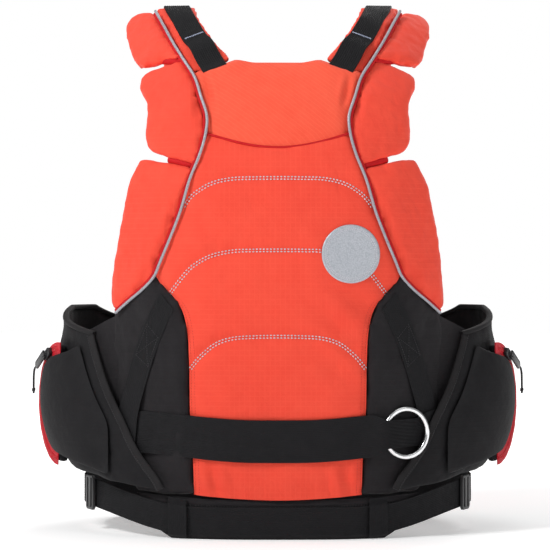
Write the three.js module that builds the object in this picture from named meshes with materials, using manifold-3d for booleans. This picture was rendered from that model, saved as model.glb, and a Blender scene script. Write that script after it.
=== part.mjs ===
import * as THREE from "three";
import { mergeVertices } from "three/addons/utils/BufferGeometryUtils.js";
import Module from "manifold-3d";

const wasm = await Module();
wasm.setup();

// A whitewater rescue life jacket, in millimetres. +Z is up, the wearer faces +Y and their right is +X.
// The origin is on the surface that the jacket stands on, under the middle of the torso.

// ---- Driving dimensions ----
const jacketHeight = 564; // hem to the top of the shoulder straps
const jacketWidth = 518; // across the side pockets at their widest
const backDepth = 168; // from the middle of the torso to the fullest part of the back foam
const frontDepth = 153; // from the middle of the torso to the fullest part of the front foam
const backFoam = 42;
const frontFoam = 38;
const flapFoam = 22;
const sideFoam = 24;
const shoulderFoam = 15;
const coverCloth = 1.2;
const pipingDiameter = 4;
const webbing = 2; // thickness of every webbing
const shoulderWebbing = 25;
const rescueBelt = 44;
const waistBelt = 30;
const beltLoop = 19;
const ringWire = 5.4;
const zipTape = 10;
const zipRadius = 59; // of the half round that each side zip runs along
const patchDiameter = 60;
const gap = 0.8; // between soft layers that lie on each other
const seamGap = 0.5; // between pads that are sewn edge to edge

// The pattern pieces are drawn for one size and graded to the jacket's.
const patternHeight = 564;
const patternWidth = 518;
const wide = jacketWidth / patternWidth;
const tall = jacketHeight / patternHeight;
const fullness = 1.3e-5 / wide ** 3; // how fast the panels curve away to the sides, per square millimetre

// ---- Small tools ----
const lerp = THREE.MathUtils.lerp;
const smooth = THREE.MathUtils.smoothstep;
const vec = (x, y, z) => new THREE.Vector3(x, y, z);
const fabric = (color, roughness = 0.85) => new THREE.MeshStandardMaterial({ color, roughness, metalness: 0 });

const orange = fabric(0xf0452c);
const yokeOrange = fabric(0xf4583c);
const black = fabric(0x211f22);
const webBlack = fabric(0x1b1b1d, 0.7);
const lining = fabric(0x2a2f2c);
const foam = fabric(0xb9bcb8, 0.95);
const red = fabric(0xc8102e, 0.6);
const reflective = new THREE.MeshStandardMaterial({ color: 0x9fa4aa, roughness: 0.35, metalness: 0.3 });
const steel = new THREE.MeshStandardMaterial({ color: 0xd6d8da, roughness: 0.2, metalness: 1 });
const plastic = new THREE.MeshStandardMaterial({ color: 0x17181a, roughness: 0.4, metalness: 0 });

const jacket = new THREE.Group();

function add(name, geometry, material) {
  const mesh = new THREE.Mesh(geometry, material);
  mesh.name = name;
  jacket.add(mesh);
}

// Adds a piece drawn on the wearer's right, and its mirror image on their left.
function addPair(name, geometry, material) {
  add(name + "_right", geometry, material);
  add(name + "_left", mirrored(geometry), material);
}

function indexed(geometry) {
  const bare = geometry.clone();
  bare.deleteAttribute("normal");
  bare.deleteAttribute("uv");
  return mergeVertices(bare, 1e-4);
}

function mirrored(geometry) {
  const flipped = indexed(geometry).applyMatrix4(new THREE.Matrix4().makeScale(-1, 1, 1));
  flipped.setIndex([...flipped.index.array].reverse());
  return flipped;
}

// One closed solid made of several, or one taken out of another.
function solid(geometry) {
  const merged = indexed(geometry);
  const vertProperties = new Float32Array(merged.attributes.position.array);
  const triVerts = new Uint32Array(merged.index.array);
  return new wasm.Manifold(new wasm.Mesh({ numProp: 3, vertProperties, triVerts }));
}
function fromSolid(manifold) {
  const mesh = manifold.getMesh();
  const geometry = new THREE.BufferGeometry();
  geometry.setAttribute("position", new THREE.BufferAttribute(mesh.vertProperties, 3));
  geometry.setIndex([...mesh.triVerts]);
  return geometry;
}
function join(...geometries) {
  return fromSolid(geometries.map(solid).reduce((all, next) => all.add(next)));
}
function cut(geometry, tool) {
  return fromSolid(solid(geometry).subtract(solid(tool)));
}

// A closed slab between two faces: face(u, v) gives its outer and inner point, with u and v from 0 to 1.
function slab(face, acrossSteps, alongSteps) {
  const points = [];
  const faces = [];
  for (let j = 0; j <= alongSteps; j++)
    for (let i = 0; i <= acrossSteps; i++) points.push(...face(i / acrossSteps, j / alongSteps));
  const at = (i, j, side) => 2 * (j * (acrossSteps + 1) + i) + side;
  const quad = (a, b, c, d) => faces.push(a, b, c, a, c, d);
  for (let j = 0; j < alongSteps; j++)
    for (let i = 0; i < acrossSteps; i++) {
      quad(at(i, j, 0), at(i + 1, j, 0), at(i + 1, j + 1, 0), at(i, j + 1, 0));
      quad(at(i, j, 1), at(i, j + 1, 1), at(i + 1, j + 1, 1), at(i + 1, j, 1));
    }
  for (let i = 0; i < acrossSteps; i++) {
    quad(at(i + 1, 0, 0), at(i, 0, 0), at(i, 0, 1), at(i + 1, 0, 1));
    quad(at(i, alongSteps, 0), at(i + 1, alongSteps, 0), at(i + 1, alongSteps, 1), at(i, alongSteps, 1));
  }
  for (let j = 0; j < alongSteps; j++) {
    quad(at(0, j, 0), at(0, j + 1, 0), at(0, j + 1, 1), at(0, j, 1));
    quad(at(acrossSteps, j + 1, 0), at(acrossSteps, j, 0), at(acrossSteps, j, 1), at(acrossSteps, j + 1, 1));
  }
  const geometry = new THREE.BufferGeometry().setFromPoints(points);
  geometry.setIndex(signedVolume(points, faces) < 0 ? faces.reverse() : faces);
  return geometry;
}

function signedVolume(points, faces) {
  let sum = 0;
  for (let k = 0; k < faces.length; k += 3) {
    const [a, b, c] = [0, 1, 2].map((n) => points[faces[k + n]]);
    sum += a.dot(b.clone().cross(c));
  }
  return sum;
}

// Straight lines between the rows of a table of [position, value].
function profile(rows) {
  return (position) => {
    const next = Math.max(1, Math.min(rows.length - 1, rows.findIndex(([p]) => p >= position)));
    const k = rows[rows.length - 1][0] < position ? rows.length - 1 : next;
    const [[p0, v0], [p1, v1]] = [rows[k - 1], rows[k]];
    return lerp(v0, v1, (position - p0) / (p1 - p0));
  };
}

// A pattern edge through a few [x, z] points, and the stretch of it between two shares of its length.
function edge(points) {
  const curve = new THREE.SplineCurve(points.map(([x, z]) => new THREE.Vector2(x * wide, z * tall)));
  return (share, from = 0, to = 1) => curve.getPointAt(lerp(from, to, share));
}

// ---- The body's form: the outer faces of the back foam and of the front foam ----
const backFall = profile([[0, 18], [60, 10], [150, 2], [250, 0], [350, 5], [420, 16], [462, 29], [490, 44],
  [515, 62], [535, 82], [548, 99], [556, 112]]);
const frontFall = profile([[0, 18], [60, 10], [200, 0], [330, 6], [400, 18], [430, 25], [450, 31]]);
const backFace = (x, z) => -(backDepth - backFall(z / tall)) + fullness * Math.abs(x) ** 3;
const frontFace = (x, z) => frontDepth - frontFall(z / tall) - fullness * Math.abs(x) ** 3;

// A padded or flat layer on the back, between an inner edge and an outer edge, from `over` outside the
// foam's face to `under` inside it.
function backLayer(inner, outer, over, under, acrossSteps, alongSteps, dip = () => 0) {
  return slab(
    (u, v) => {
      const [a, b] = [inner(v), outer(v)];
      const x = lerp(a.x, b.x, u);
      const z = lerp(a.y, b.y, u) - dip(v) * Math.sin(Math.PI * u);
      return [vec(x, backFace(x, z) - over, z), vec(x, backFace(x, z) + under, z)];
    },
    acrossSteps,
    alongSteps,
  );
}

function frontLayer(inner, outer, over, under, acrossSteps, alongSteps, dip = () => 0) {
  return slab(
    (u, v) => {
      const [a, b] = [inner(v), outer(v)];
      const x = lerp(a.x, b.x, u);
      const z = lerp(a.y, b.y, u) - dip(v) * Math.sin(Math.PI * u);
      return [vec(x, frontFace(x, z) + over, z), vec(x, frontFace(x, z) - under, z)];
    },
    acrossSteps,
    alongSteps,
  );
}

const opposite = (curve) => (v) => new THREE.Vector2(-curve(v).x, curve(v).y);
const inset = (curve, by) => (v) => new THREE.Vector2(curve(v).x - by, curve(v).y);

// ---- Back: foam, liner, centre panel, yoke, side pads ----
// The edge of the back foam on the wearer's right: yoke corner, strap seam, armhole seam, centre panel.
const backEdge = edge([[45, 492], [66, 484], [86, 477], [79, 456], [73, 435], [75, 415], [82, 394], [92, 369],
  [101, 338], [111, 312], [122, 286], [126, 273], [119, 260], [100, 239], [93, 215], [91, 185], [90, 130],
  [87, 80], [86, 46]]);
const yokeShare = 0.214; // where the yoke's lower seam meets the armhole seam
const yokeRows = 6;
const centreRows = 14;
const backRows = yokeRows + centreRows;
const yokeDip = 15;
const hemDip = 5;
const coverOut = gap + coverCloth;

// The same rows of points serve the foam and the cloths on it, so that they stay parallel.
const rowShare = (v) => {
  const row = v * backRows;
  return row < yokeRows ? (yokeShare * row) / yokeRows : lerp(yokeShare, 1, (row - yokeRows) / centreRows);
};
const backDip = (v) => {
  const row = v * backRows;
  return row < yokeRows ? (yokeDip * row) / yokeRows : lerp(yokeDip, hemDip, (row - yokeRows) / centreRows);
};
const foamEdge = (v) => backEdge(rowShare(v));
add("back_foam_core", backLayer(opposite(foamEdge), foamEdge, 0, backFoam, 8, backRows, backDip), foam);
add("back_liner", backLayer(opposite(foamEdge), foamEdge, -backFoam - gap, backFoam + coverOut, 8, backRows, backDip),
  lining);
const yokeEdge = (v) => backEdge(v, 0, yokeShare - 0.001);
const centreEdge = (v) => backEdge(v, yokeShare + 0.001, 1);
add("back_yoke_cover", backLayer(opposite(yokeEdge), yokeEdge, coverOut, -gap, 8, yokeRows, (v) => yokeDip * v),
  yokeOrange);
add("back_centre_cover", backLayer(opposite(centreEdge), centreEdge, coverOut, -gap, 8, centreRows,
  (v) => lerp(yokeDip, hemDip, v)), orange);

// The black side pad runs from the centre panel's edge to where it is hidden by the side panel.
const padRows = 9;
const padInner = (v) => {
  const share = v === 0 ? 0.53 : rowShare((backRows - padRows + v * padRows) / backRows);
  const p = backEdge(share);
  return new THREE.Vector2(p.x + seamGap, p.y);
};
const padOuter = edge([[131, 264], [142, 254], [158, 241], [170, 227], [173, 190], [167, 130], [158, 80], [147, 46]]);
addPair("back_side_pad", backLayer(padInner, padOuter, coverOut, sideFoam, 5, padRows), black);

// ---- Piping and foam flaps along the armhole seam ----
const armSeam = edge([[134, 555], [124, 537], [114, 518], [102, 498], [89, 477], [82, 456], [75.5, 435], [77, 415],
  [83, 394], [93, 369], [102, 338], [112, 312], [123, 286], [130, 270], [142, 257], [158, 244], [172, 232]]);
const pipingRadius = pipingDiameter / 2;
const pipingPath = new THREE.CatmullRomCurve3(
  Array.from({ length: 25 }, (_, k) => {
    const p = armSeam(k / 24);
    const x = p.x - pipingRadius - seamGap;
    const off = 1 + 1.4 * smooth(p.y / tall, 480, 515);
    return vec(x, backFace(x, p.y) - coverOut - pipingRadius - off, p.y);
  }),
);
const pipingSection = new THREE.Shape().absarc(0, 0, pipingRadius, 0, 2 * Math.PI);
const pipingTube = { steps: 24, curveSegments: 3, bevelEnabled: false, extrudePath: pipingPath };
addPair("piping", new THREE.ExtrudeGeometry(pipingSection, pipingTube), reflective);

const flapFace = 1.6; // how far a flap stands proud of the foam's face
const flaps = [
  { name: "shoulder_flap", from: 0, to: 0.172,
    outer: edge([[150, 553], [160, 547], [163.5, 539], [160, 526], [154, 505], [151, 496], [144, 491]]) },
  { name: "arm_flap", from: 0.19, to: 0.506,
    outer: edge([[132, 484], [142, 479], [144.5, 472], [141, 460], [137.5, 445], [137.5, 412], [137, 405], [131, 400]]) },
  { name: "side_flap", from: 0.524, to: 0.985,
    outer: edge([[117, 385], [139, 390], [146.5, 389], [149.5, 384], [153, 366], [160, 334], [166, 303], [170, 270],
      [174, 240]]) },
];
for (const { name, from, to, outer } of flaps) {
  const seam = (v) => {
    const p = armSeam(v, from, to);
    return new THREE.Vector2(p.x + 0.1, p.y);
  };
  addPair(name, backLayer(seam, outer, flapFace, flapFoam - flapFace, 5, 7), orange);
}

// ---- Shoulder straps: a pad from the back over the shoulder to the front, with webbing along it ----
const strapBack = (points) => points.map(([x, z]) => vec(x * wide, backFace(x * wide, z * tall), z * tall));
const overTop = (points) => points.map(([x, y, z]) => vec(x * wide, y, z * tall));
const strapFront = (points) => points.map(([x, z]) => vec(x * wide, frontFace(x * wide, z * tall), z * tall));
const strapInnerEdge = new THREE.CatmullRomCurve3([
  ...strapBack([[46, 493], [56, 508], [66, 521], [74, 534], [82, 548]]),
  ...overTop([[88, -14, 561], [91, 28, 560], [90, 66, 537], [84, 96, 502]]),
  ...strapFront([[76, 460], [70, 431]]),
]);
const strapOuterEdge = new THREE.CatmullRomCurve3([
  ...strapBack([[88, 477.7], [100.8, 498], [112.6, 518], [122.6, 537], [131, 551]]),
  ...overTop([[135, -8, 561], [137, 30, 556], [136, 64, 532], [130, 91, 498]]),
  ...strapFront([[122, 460], [116, 431]]),
]);

// The strap's surface at share s of its length and share u of its width, with the outward normal there.
function strapPoint(s, u) {
  const [a, b] = [strapInnerEdge.getPointAt(s), strapOuterEdge.getPointAt(s)];
  const along = strapInnerEdge.getTangentAt(s).add(strapOuterEdge.getTangentAt(s)).normalize();
  const lift = b.clone().sub(a).cross(along).setX(0).normalize();
  const flat = vec(0, s < 0.5 ? -1 : 1, 0);
  const free = smooth(s, 0, 0.12) * (1 - smooth(s, 0.88, 1));
  return { point: a.clone().lerp(b, u), normal: flat.lerp(lift, free).normalize(), along };
}
// A pad's outer side follows the armhole seam down into the foam.
const seamLean = 0.62;
function strapStrip(from, to, near, far, out, into, acrossSteps, alongSteps) {
  return slab(
    (u, v) => {
      const { point, normal } = strapPoint(lerp(from, to, v), lerp(near, far, u));
      const inside = point.clone().addScaledVector(normal, into);
      if (into < 0) inside.x -= u * seamLean * Math.max(0, point.z - inside.z);
      return [point.clone().addScaledVector(normal, out), inside];
    },
    acrossSteps,
    alongSteps,
  );
}
const strapMiddle = 0.46; // the webbing's line, as a share of the pad's width
const padWidth = strapInnerEdge.getPointAt(0.3).distanceTo(strapOuterEdge.getPointAt(0.3));
const webHalf = shoulderWebbing / 2 / padWidth;
addPair("shoulder_pad", strapStrip(0.004, 0.996, 0, 1, 0, -shoulderFoam, 2, 20), orange);
addPair("shoulder_webbing", strapStrip(0.02, 0.93, strapMiddle - webHalf, strapMiddle + webHalf,
  gap + webbing, gap, 1, 20), webBlack);

// ---- Front: foam, cover, liner ----
const frontEdge = edge([[70, 429], [92, 425], [116, 420], [113, 395], [110, 365], [119, 320], [138, 275],
  [149, 240], [150, 180], [150, 110], [148, 46]]);
const neckDip = 26;
const frontDip = (v) => neckDip * (1 - smooth(v, 0, 0.4)) + hemDip * smooth(v, 0.4, 1);
add("front_foam_core", frontLayer(opposite(frontEdge), frontEdge, 0, frontFoam, 8, 12, frontDip), foam);
add("front_cover", frontLayer(opposite(frontEdge), frontEdge, coverOut, -gap, 8, 12, frontDip), orange);
add("front_liner", frontLayer(opposite(frontEdge), frontEdge, -frontFoam - gap, frontFoam + coverOut, 8, 12, frontDip),
  lining);

// ---- Hems: the jacket stands on these ----
const hemThickness = 8;
const hemEdge = edge([[147, 45.3], [140, 28], [127, 12], [110, 0]]);
const hemTopDip = (v) => hemDip * (1 - v);
add("hem_back", backLayer(opposite(hemEdge), hemEdge, coverOut, hemThickness, 10, 4, hemTopDip), black);
add("hem_front", frontLayer(opposite(hemEdge), hemEdge, coverOut, hemThickness, 10, 4, hemTopDip), black);

// ---- Webbing that lies on the back, between two edges ----
const webIn = coverOut + gap;
const webOut = webIn + webbing;
const stepUp = gap + webbing; // one webbing crossing over another
const strapInner = edge([[106.5, 236], [115, 219], [127.5, 187], [138.5, 152], [144.5, 129], [147, 109], [149, 88]]);
const strapOuter = edge([[121, 253], [135.5, 226], [149.5, 190], [161, 150], [166, 128], [167.5, 108], [168, 90]]);
function harnessStrap(raised) {
  return slab(
    (u, v) => {
      const [a, b] = [strapInner(v), strapOuter(v)];
      const [x, z] = [lerp(a.x, b.x, u), lerp(a.y, b.y, u)];
      const up = raised * (1 - smooth(z / tall, 134, 160));
      return [vec(x, backFace(x, z) - webOut - up, z), vec(x, backFace(x, z) - webIn - up, z)];
    },
    2,
    10,
  );
}
add("harness_strap_right", harnessStrap(0), webBlack);
add("harness_strap_left", mirrored(harnessStrap(stepUp + 0.5)), webBlack);

// ---- Rescue belt and tether ring ----
const beltRise = (x) => 8 * tall * smooth(Math.abs(x), 20 * wide, 150 * wide);
const beltLevel = 101.5 * tall;
const ringX = 128 * wide;
const ringRadius = rescueBelt / 2 + ringWire / 2; // the belt just fills the ring
const ringZ = beltLevel + beltRise(ringX);
const ringSlope = Math.atan(3 * fullness * ringX ** 2);
const ringTilt = THREE.MathUtils.degToRad(7);
const ringHeight = 7.3; // of the ring's middle above the back's face
const sag = (3 * fullness * ringX * Math.cos(ringSlope) ** 3); // how fast the back falls away from its tangent
// A point near the ring: u along the back's face, h out from it.
const byRing = (u, h) =>
  vec(ringX + u * Math.cos(ringSlope) + h * Math.sin(ringSlope),
    backFace(ringX, ringZ) + u * Math.sin(ringSlope) - h * Math.cos(ringSlope), ringZ);
const ring = new THREE.TorusGeometry(ringRadius, ringWire / 2, 8, 32);
ring.rotateX(Math.PI / 2).rotateX(-Math.PI / 2);
ring.applyMatrix4(new THREE.Matrix4().makeBasis(
  vec(Math.cos(ringSlope - ringTilt), Math.sin(ringSlope - ringTilt), 0), vec(0, 0, 1),
  vec(Math.sin(ringSlope - ringTilt), -Math.cos(ringSlope - ringTilt), 0),
).setPosition(byRing(0, ringHeight)));
add("tether_ring", ring, steel);

// The belt's middle line round the body: over the ring's near side, through it and under its far side.
const clear = ringWire / 2 + webbing / 2 + gap;
const ringH = (u) => ringHeight + u * Math.sin(ringTilt);
const throughRing = [
  [-46, webOut * 0.82 - webbing / 2 - sag * 46 ** 2], [-36, 1.5], [-29, ringH(-29) + clear], [-22, ringH(-22) + clear + 1.2],
  [-15, ringH(-15) + clear + 1.2], [-8, ringH(-8) + clear * 0.5], [0, ringH(0)], [8, ringH(8) - clear * 0.5],
  [16, ringH(16) - clear],
].map(([u, h]) => byRing(u, h));
const beltSides = [[186, -77], [203, -48], [215, -14], [215, 20], [203, 56], [182, 82]];
const onBack = (x, z, out) => vec(x * wide, backFace(x * wide, z) - out, z);
const onFront = (x, z, out) => vec(x * wide, frontFace(x * wide, z) + out, z);
const atSide = (sides, z, sign) => sides.map(([x, y]) => vec(sign * x * wide, y, z));
const webMiddle = webIn + webbing / 2;
const frontMiddle = webMiddle + 0.8; // the front is flatter, so the webbing stands off it a little more
const frontStations = [148, 126, 104, 78, 50, 22];

// A closed line from the middle of the back by the wearer's right, the front and their left.
function bodyLoop(level, rightBack, leftStations, sides) {
  const leftBack = leftStations.map((x) => onBack(-x, level, webMiddle));
  return new THREE.CatmullRomCurve3([
    onBack(0, level, webMiddle),
    ...rightBack,
    ...atSide(sides, level, 1),
    ...frontStations.map((x) => onFront(x, level, frontMiddle)),
    onFront(0, level, frontMiddle),
    ...frontStations.map((x) => onFront(-x, level, frontMiddle)).reverse(),
    ...atSide(sides, level, -1).reverse(),
    ...leftBack.reverse(),
  ], true, "centripetal");
}

// A belt round such a line between two shares of its length; `rise` and `height` depend on the place.
function loopBelt(loop, from, to, height, rise, steps, off = 0) {
  return slab(
    (u, v) => {
      const s = lerp(from, to, v) % 1;
      const p = loop.getPointAt(s);
      const tangent = loop.getTangentAt(s);
      const outward = vec(tangent.y, -tangent.x, 0).normalize();
      const z = p.z + rise(p) + lerp(-0.5, 0.5, u) * height(p);
      const face = p.y < 0 ? backFace : frontFace;
      const lean = smooth(Math.abs(p.y), 50, 100) * (face(p.x, z) - face(p.x, p.z));
      return [webbing / 2, -webbing / 2].map((d) => {
        const q = p.clone().addScaledVector(outward, d + off);
        return vec(q.x, q.y + lean, z);
      });
    },
    1,
    steps,
  );
}
const beltLine = bodyLoop(ringZ, [
  onBack(30, ringZ, webMiddle), onBack(60, ringZ, webMiddle), ...throughRing,
  ...[154, 162, 171].map((x) => onBack(x, ringZ, webMiddle + stepUp + 0.4)),
], [24, 48, 72, 98, 122, 136, 148, 160, 171], beltSides);
beltLine.arcLengthDivisions = 800;
const nearRing = (p) => (p.y < 0 ? 1 - smooth(Math.abs(p.x - ringX - 2), 17, 28) : 0);
add("rescue_belt", loopBelt(beltLine, 0.5 + 0.004, 1.5 - 0.004, (p) => rescueBelt * (1 - 0.34 * nearRing(p)),
  (p) => beltLevel - ringZ + beltRise(p.x), 84), webBlack);

// ---- Waist belt: stretch webbing round the hem, closed by a buckle in front ----
const waistLevel = 19 * tall;
const waistRise = (x) => 22 * tall * smooth(Math.abs(x), 90 * wide, 215 * wide);
const waistStations = [24, 48, 72, 98, 122, 146];
const waistLine = bodyLoop(waistLevel, waistStations.map((x) => onBack(x, waistLevel, webMiddle)), waistStations,
  [[172, -88], [198, -48], [210, 0], [202, 50], [172, 94]]);
add("waist_belt", loopBelt(waistLine, 0.5 + 0.004, 1.5 - 0.004, () => waistBelt, (p) => waistRise(p.x), 56), webBlack);

// Two loops on the back hem hold the waist belt: a foot above the belt, a bridge over it, a foot below.
const loopX = 103.5 * wide;
const loopReach = waistBelt / 2 + gap;
const loopLine = [
  [loopReach + webbing + 5, webIn], [loopReach + webbing, webIn], [loopReach, webOut + gap], [-loopReach, webOut + gap],
  [-loopReach - webbing, webIn],
];
addPair("hem_belt_loop", slab(
  (u, v) => {
    const [dz, out] = loopLine[Math.round(v * (loopLine.length - 1))];
    const x = loopX + lerp(-0.5, 0.5, u) * beltLoop;
    const z = waistLevel + waistRise(x) + dz;
    const y = backFace(x, z);
    return [vec(x, y - out - webbing, z), vec(x, y - out, z)];
  },
  2,
  loopLine.length - 1,
), webBlack);

// ---- Side panels: they wrap from the back round to the front and carry the side pockets ----
const panelRound = 2.3;
const panelHalf = (z) => wide * (259 - 0.0035 * (z / tall - 143) ** 2);
const panelBack = (z) => backDepth + 6.5 - (0.245 * z) / tall;
const panelFront = frontDepth - 13;
const panelBinding = profile([[49, 114], [70, 130], [90, 147], [115, 157], [146, 174], [167, 182], [192, 190],
  [209, 195], [240, 200]]);
const panelEnd = 150 * wide; // where the panels stop on the front
const pocketDepth = 12;

// The panels' outer form at height z. The turn is 0 at the side, negative towards the back.
function panelPoint(turn, z, inset = 0) {
  const [half, deep] = [panelHalf(z), turn < 0 ? panelBack(z) : panelFront];
  const x = half * Math.cos(turn) ** (2 / panelRound);
  const y = deep * Math.sign(turn) * Math.abs(Math.sin(turn)) ** (2 / panelRound);
  const power = panelRound - 1;
  const normal = vec((x / half) ** power / half, (Math.sign(y) * (Math.abs(y) / deep) ** power) / deep, 0).normalize();
  return vec(x, y, z).addScaledVector(normal, -inset);
}
const turnAtX = (x, z) => Math.acos(Math.min(1, x / panelHalf(z)) ** (panelRound / 2));
const turnAtY = (y, z) => -Math.asin((Math.abs(y) / panelBack(z)) ** (panelRound / 2));
const bindingX = (turn, z) => (turn < 0 ? panelBinding(z / tall) * wide : panelEnd);
// Where the panel has cleared the side pad and the webbing under it, and starts to sink under the pocket.
const sinkX = (turn, z) => Math.max(bindingX(turn, z) + 10, 168 * wide);
const besidePocket = (z) => 1 - smooth(Math.abs(z / tall - 134), 70, 95);
// How far the panel itself lies inside the outer form, to make room for the pocket on it.
const panelInset = (turn, z) => 
  pocketDepth * smooth(panelPoint(turn, z).x - sinkX(turn, z), 0, 34) * besidePocket(z);

const panelBottom = profile([[0, 49], [0.25, 61], [0.5, 66], [0.8, 58], [1, 50]]);
const panelTop = profile([[0, 209], [0.2, 220], [0.45, 236], [0.7, 236], [1, 214]]);
addPair("side_panel", slab(
  (u, v) => {
    const z = lerp(panelBottom(u), panelTop(u), v) * tall;
    const turn = lerp(-turnAtX(panelBinding(z / tall) * wide, z), turnAtX(panelEnd, z), u);
    const inset = panelInset(turn, z);
    const thick = lerp(2, 6, smooth(panelPoint(turn, z).x - bindingX(turn, z), 6, 34));
    return [panelPoint(turn, z, inset), panelPoint(turn, z, inset + thick)];
  },
  28,
  8,
), black);

// ---- Side pockets, each opened by a zip that runs half round its outer rim ----
const zipZ = 134.3 * tall;
const zipInner = zipRadius - 6;
const zipOuter = zipInner + zipTape;
const rimClearance = 1.2;
const zipBack = solve(
  (t) => Math.hypot(panelHalf(zipZ) - panelX(-t, zipZ + zipRadius), t) - zipRadius, 0, zipRadius);
const zipCentre = vec(panelX(-zipBack, zipZ + zipRadius), -zipBack, zipZ);
const zipForward = vec(panelHalf(zipZ), 0, zipZ).sub(zipCentre).normalize();
const zipAxis = vec(zipForward.y, -zipForward.x, 0);

function panelX(y, z) {
  return panelHalf(z) * (1 - (Math.abs(y) / panelBack(z)) ** panelRound) ** (1 / panelRound);
}
function solve(f, low, high) {
  for (let k = 0; k < 40; k++) {
    const middle = (low + high) / 2;
    if (f(low) * f(middle) <= 0) high = middle;
    else low = middle;
  }
  return (low + high) / 2;
}
// A point by the zip's round: its radius, its angle from straight forward, its height above the zip's plane.
const byZip = (radius, angle, height) =>
  zipCentre.clone()
    .addScaledVector(zipForward, radius * Math.cos(angle))
    .addScaledVector(vec(0, 0, 1), radius * Math.sin(angle))
    .addScaledVector(zipAxis, height);
const halfTurn = (v) => lerp(-Math.PI / 2, Math.PI / 2, v);

// The gusset stands on the panel under the zip; the pocket's padded face joins it.
const gusset = slab(
  (u, v) => {
    const top = byZip(lerp(zipInner - 3, zipOuter, u), halfTurn(v), -coverCloth - 0.4);
    const foot = solve((turn) => panelPoint(turn, top.z, panelInset(turn, top.z)).sub(top).dot(zipForward), -1.2, 0.9);
    const depth = top.clone().sub(panelPoint(foot, top.z, panelInset(foot, top.z))).dot(zipAxis);
    return [top, top.clone().addScaledVector(zipAxis, gap - depth)];
  },
  2,
  24,
);
const pocketFace = slab(
  (u, v) => {
    const rim = byZip(zipInner - rimClearance, halfTurn(v), 0);
    const back = lerp(63, 198, v) * tall;
    const z = lerp(back, rim.z, u);
    const turn = lerp(-turnAtX(sinkX(-1, back) + 8, back), turnAtY(rim.y, rim.z), u);
    const low = 0.92 * panelInset(turn, z) - 1.5;
    const high = lerp(low - 1, 0, smooth(panelPoint(turn, z).x - sinkX(-1, z), 10, 30));
    return [panelPoint(turn, z, high), panelPoint(turn, z, low)];
  },
  9,
  12,
);
addPair("side_pocket", join(pocketFace, gusset), black);
addPair("side_zip_tape", slab(
  (u, v) => {
    const [radius, angle] = [lerp(zipInner, zipOuter, u), halfTurn(v)];
    return [byZip(radius, angle, 0), byZip(radius, angle, -coverCloth)];
  },
  1,
  24,
), red);

// ---- Zip sliders and pulls. Drawn lying flat: x along the zip, y across it, z out of it ----
const sliderSize = { long: 19, wide: 9.6, thick: 4.2 };
const lug = { long: 3, wide: 4, tall: 3.4 };
const pullSize = { long: 30, wide: 9, thick: 2.4 };
const pinHeight = sliderSize.thick + 2.2; // of the pull's pin above the zip
function outline(points) {
  return new THREE.Shape(points.map(([x, y]) => new THREE.Vector2(x, y)));
}
function sliderShape({ long, wide: w, thick }) {
  const body = new THREE.ExtrudeGeometry(
    outline([[-long / 2, -w / 2 + 2], [-long / 2 + 3, -w / 2], [long / 2 - 4, -w / 2], [long / 2, -w / 4],
      [long / 2, w / 4], [long / 2 - 4, w / 2], [-long / 2 + 3, w / 2], [-long / 2, w / 2 - 2]]),
    { depth: thick, bevelEnabled: false },
  );
  const knob = new THREE.BoxGeometry(lug.long, lug.wide, lug.tall + 1).translate(0, 0, thick + lug.tall / 2 - 0.5);
  return join(body, knob);
}
// A fork whose two ears hold the pin; the pin is at the origin.
function pullShape({ long, wide: w, thick }) {
  const ear = lug.wide / 2 + 0.4;
  const near = lug.long / 2 + 1;
  return new THREE.ExtrudeGeometry(
    outline([[-thick / 2, -w / 2], [long - 3, -w / 2], [long, -w / 2 + 3], [long, w / 2 - 3], [long - 3, w / 2],
      [-thick / 2, w / 2], [-thick / 2, ear], [near, ear], [near, -ear], [-thick / 2, -ear]]),
    { depth: thick, bevelEnabled: false },
  ).translate(0, 0, -thick / 2);
}
// Places a flat drawing at a point: its x goes along one direction and its z along the outward one.
function seat(geometry, point, along, out) {
  const [x, z] = [along.clone().normalize(), out.clone().normalize()];
  const basis = new THREE.Matrix4().makeBasis(x, z.clone().cross(x), z).setPosition(point);
  return geometry.clone().applyMatrix4(basis);
}

const sliderRest = THREE.MathUtils.degToRad(62);
const sliderGap = 0.4;
const sliderRadius = zipInner + 5.8;
const zipRun = zipForward.clone().multiplyScalar(Math.sin(sliderRest)).add(vec(0, 0, -Math.cos(sliderRest)));
addPair("side_zip_slider", seat(sliderShape(sliderSize), byZip(sliderRadius, sliderRest, sliderGap), zipRun, zipAxis),
  plastic);
const pinAt = byZip(sliderRadius, sliderRest, sliderGap + pinHeight);
addPair("side_zip_pull", seat(pullShape(pullSize), pinAt, zipRun, zipAxis), plastic);

// A thin cord hangs from each side pull.
const tailDiameter = 2.4;
const tailLength = 34;
const tailStart = pinAt.clone().addScaledVector(zipRun, pullSize.long + 0.3);
const tailPath = new THREE.CatmullRomCurve3([
  tailStart,
  tailStart.clone().addScaledVector(zipRun, 5),
  tailStart.clone().addScaledVector(zipRun, 8).add(vec(0, 0, -4)),
  tailStart.clone().addScaledVector(zipRun, 9).add(vec(0, 0, -14)),
  tailStart.clone().addScaledVector(zipRun, 9).add(vec(0, 0, 5 - tailLength + 4)),
]);
const round = (diameter) => new THREE.Shape().absarc(0, 0, diameter / 2, 0, 2 * Math.PI);
addPair("side_pull_cord", new THREE.ExtrudeGeometry(round(tailDiameter),
  { steps: 12, curveSegments: 4, bevelEnabled: false, extrudePath: tailPath }), plastic);

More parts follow.
